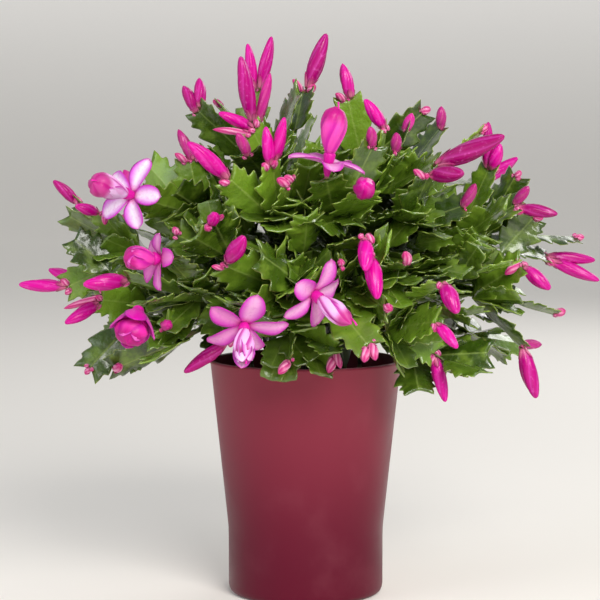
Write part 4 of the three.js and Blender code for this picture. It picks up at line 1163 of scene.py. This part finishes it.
def pot_plastic(palette):
    # Injection-moulded polypropylene: a plum satin wall with painted shade, darker towards the foot and
    # lighter up by the rim, with faint smudges and a painted highlight along the top of its rim
    material, tree, shader, place = new_material(
        "moulded polypropylene, plum satin", IOR=1.49, Specular_IOR_Level=0.2, Coat_Weight=0.05,
        Coat_Roughness=0.22)
    smudge = put(tree, "ShaderNodeTexNoise", {"Vector": place, "Scale": 26.0, "Detail": 4.0}).outputs["Fac"]
    # Moulding grain of about 1 mm, coarser than the real one
    grain = put(tree, "ShaderNodeTexNoise", {"Vector": place, "Scale": 900.0, "Detail": 2.0}).outputs["Fac"]
    height = put(tree, "ShaderNodeSeparateXYZ", {"Vector": place}).outputs["Z"]
    colour = laid_over(
        tree, palette.pot_low,
        # Painted light and shade: darker towards the foot, lighter up by the rim
        (height, palette.pot_high, 0.02, 0.18),
        (smudge, "#a8606c", 0.5, 0.75, 0.0, 0.08),
        # Painted highlight along the top edge of the rim
        (height, "#c98fa0", 0.1642, 0.1652, 0.0, 0.5),
    )
    rough = put(tree, "ShaderNodeMapRange", {"Value": smudge, 1: 0.3, 2: 0.7, 3: 0.34, 4: 0.48},
                interpolation_type="SMOOTHSTEP")
    relief = put(tree, "ShaderNodeBump", {"Height": grain, "Strength": 0.06, "Distance": 0.0002})
    tree.links.new(colour, shader.inputs["Base Color"])
    tree.links.new(rough.outputs["Result"], shader.inputs["Roughness"])
    tree.links.new(relief.outputs["Normal"], shader.inputs["Normal"])
    return material


def peat(palette):
    # Moist peat, matt and crumbly: dark brown crumbs of 1 to 3 mm, paler in their middles
    material, tree, shader, place = new_material("moist peat", Roughness=0.95)
    crumbs = put(tree, "ShaderNodeTexVoronoi", {"Vector": place, "Scale": 420.0}).outputs["Distance"]
    fine = put(tree, "ShaderNodeTexNoise", {"Vector": place, "Scale": 160.0, "Detail": 6.0}).outputs["Fac"]
    colour = laid_over(
        tree, "#1b130c",
        (fine, palette.soil, 0.35, 0.7),
        (crumbs, "#6a5138", 0.0, 0.35, 0.4, 0.0),
    )
    relief = put(tree, "ShaderNodeBump", {"Height": crumbs, "Strength": 0.8, "Distance": 0.0015})
    tree.links.new(colour, shader.inputs["Base Color"])
    tree.links.new(relief.outputs["Normal"], shader.inputs["Normal"])
    return material


def matt_paper():
    # Matt paper, pale and without gloss. Its back wall glows a little, so that it stays as pale as its floor
    material, tree, shader, place = new_material(
        "matt pale paper", Roughness=0.85, Base_Color=linear("#eae5de"), Emission_Color=linear("#e6e4e2"))
    height = put(tree, "ShaderNodeSeparateXYZ", {"Vector": place}).outputs["Z"]
    glow = put(tree, "ShaderNodeMapRange", {"Value": height, 1: 0.0, 2: 1.5, 3: 0.08, 4: 0.62},
               interpolation_type="SMOOTHSTEP")
    tree.links.new(glow.outputs["Result"], shader.inputs["Emission Strength"])
    return material


def keep(piece, node=None):
    """A finished piece of the plant: it stands for its node, if it has one, and rides on the one body."""
    if node:
        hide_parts(node)
    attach(piece, "root")


def spun(name, profile, sides, material):
    """A round hollow body, drawn ring by ring from under its floor, over its rim and down its inside."""
    bpy.ops.object.select_all(action="DESELECT")
    radius, z = profile[0]
    bpy.ops.mesh.primitive_circle_add(
        vertices=sides, radius=radius * MM, fill_type="NGON", location=(0, 0, 0))
    piece = bpy.context.object
    piece.name = name
    piece.data.name = name
    bpy.ops.object.mode_set(mode="EDIT")
    bpy.ops.mesh.select_all(action="SELECT")
    bpy.ops.transform.translate(value=(0, 0, z * MM))
    for next_radius, next_z in profile[1:]:
        bpy.ops.mesh.extrude_region_move(TRANSFORM_OT_translate={"value": (0, 0, (next_z - z) * MM)})
        part = next_radius / radius
        bpy.ops.transform.resize(value=(part, part, 1), center_override=(0, 0, next_z * MM))
        radius, z = next_radius, next_z
    bpy.ops.mesh.select_all(action="SELECT")
    bpy.ops.mesh.normals_make_consistent(inside=False)
    bpy.ops.object.mode_set(mode="OBJECT")
    bpy.ops.object.shade_smooth_by_angle(angle=math.radians(40))
    piece.data.materials.append(material)
    return piece


def swatch(name, description, colour):
    return bpy.props.FloatVectorProperty(
        name=name, description=description, subtype="COLOR", size=4, default=linear(colour), min=0, max=1)


class CactusSettings(bpy.types.PropertyGroup):
    """Colours and numbers that a user would change."""

    leaf_dark: swatch("Dark blade", "Colour of the darkest blades", "#2b4206")
    leaf_light: swatch("Light blade", "Colour of the lightest blades", "#769a2a")
    leaf_margin: swatch("Blade margin", "Colour along the toothed margins", "#c3cc62")
    bud: swatch("Bud", "Colour of the closed buds", "#d00090")
    # Partly the petal's own pale colour, partly a painted highlight
    petal_middle: swatch("Petal middle", "Colour down the middle of an open petal", "#f8dcf7")
    petal_edge: swatch("Petal edge", "Colour along the edge of an open petal", "#ca46ca")
    throat: swatch("Throat", "Colour of the flower's tube", "#c4108f")
    # The pot's two wall colours carry painted light and shade: lighter by the rim, darker towards the foot
    pot_high: swatch("Pot, upper wall", "Colour of the pot near its rim", "#882d3f")
    pot_low: swatch("Pot, base", "Colour of the pot near its foot", "#580220")
    soil: swatch("Soil", "Colour of the peat's light crumbs", "#3a2a1c")
    pot_sides: bpy.props.IntProperty(
        name="Pot sides", description="Sides of the pot's round wall", default=128, min=32, max=256)
    camera_far: bpy.props.FloatProperty(
        name="Camera distance", description="From the pot's axis to the camera", default=1.5, unit="LENGTH")
    camera_high: bpy.props.FloatProperty(
        name="Camera height", description="Of the camera above the table", default=0.331, unit="LENGTH")


class CactusPiece:
    """What every operator here has in common."""

    bl_options = {"REGISTER", "UNDO"}


class MESH_OT_cactus_pot(CactusPiece, bpy.types.Operator):
    """Add the tapered pot"""

    bl_idname = "mesh.cactus_pot"
    bl_label = "Pot"

    def execute(self, context):
        settings = context.scene.cactus
        inside = RIM_RADIUS - WALL
        # The foot's places as out from its radius and height, the rim's as radius and depth below the top
        foot = [(-5, 0), (-2.6, 0.6), (-1.2, 1.8), (-0.4, 3.6), (0, 6), (0, STRAIGHT - 6), (0.15, STRAIGHT),
                (0.8, STRAIGHT + 7)]
        rim = [(RIM_RADIUS - RIM_ROUND, RIM_DEPTH), (RIM_RADIUS - 0.1, 2.2), (RIM_RADIUS, 1.4),
               (RIM_RADIUS - 0.2, 0.5), (RIM_RADIUS - 0.8, 0), (inside + 0.8, 0), (inside + 0.2, 0.5),
               (inside, RIM_DEPTH)]
        profile = [(FOOT_RADIUS + out, z) for out, z in foot]
        profile += [(radius, POT_HEIGHT - low) for radius, low in rim]
        profile += [(FOOT_RADIUS - WALL, STRAIGHT), (FOOT_RADIUS - WALL, FLOOR)]
        pot = spun("plum_pot", profile, settings.pot_sides, pot_plastic(settings))
        keep(pot, "pot")
        return {"FINISHED"}


class MESH_OT_cactus_soil(CactusPiece, bpy.types.Operator):
    """Add the peat that fills the pot"""

    bl_idname = "mesh.cactus_soil"
    bl_label = "Soil"

    def execute(self, context):
        part = (SOIL_TOP - STRAIGHT) / (POT_HEIGHT - RIM_DEPTH - STRAIGHT)
        low = FOOT_RADIUS - WALL - SOIL_INSET
        high = low + part * (RIM_RADIUS - FOOT_RADIUS)
        wall = [(low - 2, FLOOR + 0.4), (low, FLOOR + 2), (low, STRAIGHT), (high, SOIL_TOP - SOIL_DOME - 1)]
        parts = [1 - k / SOIL_RINGS for k in range(1, SOIL_RINGS)]
        top = [(high * one, SOIL_TOP - SOIL_DOME * one ** 2) for one in parts]
        radius, z = array(wall + top).T[:, :, None]
        angle = full_turn(SOIL_SIDES)
        x, y = radius * np.cos(angle), radius * np.sin(angle)
        # Crumbs a few millimetres across, from waves that cross each other
        crumbs = (np.sin(x * 0.9 + 2 * np.sin(y * 0.7)) * np.sin(y * 1.1 + 1.5 * np.sin(x * 0.5)) * 0.5
                  + np.sin(x * 2.3 + y * 1.9) * np.sin(y * 2.7 - x * 1.3) * 0.35)
        crumbs[:len(wall)] = 0
        skin = Skin()
        skin.rings(np.stack([x, y, z + crumbs], -1), 1, 1, 1, 1)
        keep(skin.piece("peat_soil", peat(context.scene.cactus)), "soil")
        return {"FINISHED"}


class MESH_OT_cactus_stems(CactusPiece, bpy.types.Operator):
    """Add the leafy stems, each with its foot, its toothed blades and the blades inside the dome"""

    bl_idname = "mesh.cactus_stems"
    bl_label = "Leafy stems"

    def execute(self, context):
        material = cactus_skin(context.scene.cactus)
        for stem in STEMS:
            skin = Skin()
            add_foot(skin, stem)
            for blade in stem["blades"]:
                end = blade_end(blade)
                # Painted shade by depth in the dome, and more on boughs and trunks
                painted_shade = min(MOST_SHADE, DEPTH_SHADE * depth(end) + DEEPER[blade["slim"]])
                add_blade(skin, blade, chance(end, "blade tone") ** TONE_CURVE, painted_shade)
            for blade in inner_blades(stem):
                end = blade_end(blade)
                # Inner blades get the most painted shade, and a darker tone
                painted_shade = min(MOST_SHADE, INNER_SHADE[0] + INNER_SHADE[1] * depth(end))
                add_blade(skin, blade, INNER_TONE * chance(end, "blade tone"), painted_shade, FEW_COLUMNS)
            keep(skin.piece("leafy_" + stem["name"], material), stem["name"])
        return {"FINISHED"}


class MESH_OT_cactus_buds(CactusPiece, bpy.types.Operator):
    """Add the large buds, each in its own place, and the small buds on the stems"""

    bl_idname = "mesh.cactus_buds"
    bl_label = "Buds"

    def execute(self, context):
        material = bud_petals(context.scene.cactus)
        for bud in BLOOMS:
            if not isinstance(bud["kind"], str):
                skin = Skin()
                start, to = bud["from"], bud["to"]
                add_bud(skin, start, to, bud["kind"], BUD_PROFILE, BUD_SCALES)
                add_companions(skin, start, to, bud["across"], bud["up"], BUD_COMPANIONS, SMALL_BUD_SCALES)
                keep(skin.piece("petalled_" + bud["name"], material), bud["name"])
        for stem in STEMS:
            skin = Skin()
            for bud in stem["buds"]:
                self.add_small_bud(skin, bud)
            if skin.faces:
                keep(skin.piece("small_buds_of_" + stem["name"], material))
        return {"FINISHED"}

    def add_small_bud(self, skin, bud):
        start, to, girth, seat = bud["from"], bud["to"], bud["girth"], bud["seat"]
        part = YOUNG if girth < YOUNG_GIRTH else 0.55 + 0.04 * girth
        profile = BUTTON_PROFILE if girth < OWN_GIRTH else BUD_PROFILE
        add_bud(skin, start, to, girth * SMALL_BUD_SWELL, profile, SMALL_BUD_SCALES, part)
        across = unit(seat["top_right"] - seat["top_left"])
        add_companions(skin, start, to, across, seat["up"], SMALL_BUD_COMPANIONS, 0)


class MESH_OT_cactus_flowers(CactusPiece, bpy.types.Operator):
    """Add the open and opening flowers"""

    bl_idname = "mesh.cactus_flowers"
    bl_label = "Flowers"

    def execute(self, context):
        material = open_petals(context.scene.cactus)
        for bloom in BLOOMS:
            if isinstance(bloom["kind"], str):
                skin = Skin()
                add_flower(skin, bloom)
                keep(skin.piece("petalled_" + bloom["name"], material), bloom["name"])
        return {"FINISHED"}


class SCENE_OT_cactus_stage(CactusPiece, bpy.types.Operator):
    """Add the sheet of paper, the lights and the camera"""

    bl_idname = "scene.cactus_stage"
    bl_label = "Stage"

    def execute(self, context):
        self.add_sheet()
        self.add_lights()
        self.add_camera(context.scene)
        context.scene.view_settings.view_transform = "Standard"
        return {"FINISHED"}

    def select_far(self, mesh, highest):
        """Selects the sheet's edges at its far end, up to a height."""
        for vertex in mesh.vertices:
            vertex.select = vertex.co.y > SHEET_END and vertex.co.z < highest
        for edge in mesh.edges:
            edge.select = all(mesh.vertices[i].select for i in edge.vertices)

    def add_sheet(self):
        bpy.ops.object.select_all(action="DESELECT")
        bpy.ops.mesh.primitive_plane_add(size=SHEET_SIZE, location=(0, 0, 0))
        sheet = bpy.context.object
        sheet.name = "floor"
        sheet.data.transform(Matrix.Translation((0, SHEET_SHIFT, 0)))
        bpy.ops.object.mode_set(mode="EDIT")
        bpy.ops.mesh.select_all(action="DESELECT")
        bpy.ops.object.mode_set(mode="OBJECT")
        self.select_far(sheet.data, SHEET_RISE)
        bpy.ops.object.mode_set(mode="EDIT")
        bpy.ops.mesh.extrude_region_move(TRANSFORM_OT_translate={"value": (0, 0, SHEET_RISE)})
        bpy.ops.object.mode_set(mode="OBJECT")
        self.select_far(sheet.data, 0.1)
        bpy.ops.object.mode_set(mode="EDIT")
        bpy.ops.mesh.bevel(offset=SHEET_SWEEP, segments=SWEEP_SEGMENTS, affect="EDGES")
        bpy.ops.object.mode_set(mode="OBJECT")
        bpy.ops.object.shade_smooth_by_angle(angle=math.radians(30))
        sheet.data.materials.append(matt_paper())

    def add_lights(self):
        world = bpy.data.worlds.new("soft studio")
        world.use_nodes = True
        background = world.node_tree.nodes["Background"]
        background.inputs["Color"].default_value = linear("#e9eef2")
        background.inputs["Strength"].default_value = WORLD_STRENGTH
        bpy.context.scene.world = world
        for name, place, sides, watts, colour in LIGHTS:
            data = bpy.data.lights.new(name, "AREA")
            data.shape = "RECTANGLE"
            data.size, data.size_y = sides
            data.energy = watts
            data.color = linear(colour)[:3]
            light = bpy.data.objects.new(name, data)
            light.location = place
            light.rotation_euler = (Vector(AIM) - Vector(place)).to_track_quat("-Z", "Y").to_euler()
            bpy.context.collection.objects.link(light)

    def add_camera(self, scene):
        data = bpy.data.cameras.new("photo view")
        data.sensor_width = 36
        data.lens = CAMERA_LENS
        data.clip_start, data.clip_end = 0.05, 60
        camera = bpy.data.objects.new("photo view", data)
        camera.location = (CAMERA_ASIDE, -scene.cactus.camera_far, scene.cactus.camera_high)
        camera.rotation_euler = (CAMERA_PITCH, 0, 0)
        bpy.context.collection.objects.link(camera)
        scene.camera = camera


class VIEW3D_PT_cactus(bpy.types.Panel):
    """Lists the pieces of the plant and their colours"""

    bl_idname = "VIEW3D_PT_cactus"
    bl_label = "Christmas cactus"
    bl_space_type = "VIEW_3D"
    bl_region_type = "UI"
    bl_category = "Cactus"

    def draw(self, context):
        layout = self.layout
        for name in CactusSettings.__annotations__:
            layout.prop(context.scene.cactus, name)
        for operator in OPERATORS:
            layout.operator(operator.bl_idname)


OPERATORS = (
    MESH_OT_cactus_pot, MESH_OT_cactus_soil, MESH_OT_cactus_stems, MESH_OT_cactus_buds,
    MESH_OT_cactus_flowers, SCENE_OT_cactus_stage,
)
CLASSES = (CactusSettings,) + OPERATORS + (VIEW3D_PT_cactus,)
STEMS, BLOOMS = grow_plant()


def register():
    for one in CLASSES:
        bpy.utils.register_class(one)
    bpy.types.Scene.cactus = bpy.props.PointerProperty(type=CactusSettings)


def unregister():
    del bpy.types.Scene.cactus
    for one in reversed(CLASSES):
        bpy.utils.unregister_class(one)


def main():
    register()
    bpy.ops.mesh.cactus_pot()
    bpy.ops.mesh.cactus_soil()
    bpy.ops.mesh.cactus_stems()
    bpy.ops.mesh.cactus_buds()
    bpy.ops.mesh.cactus_flowers()
    bpy.ops.scene.cactus_stage()


if __name__ == "__main__":
    main()
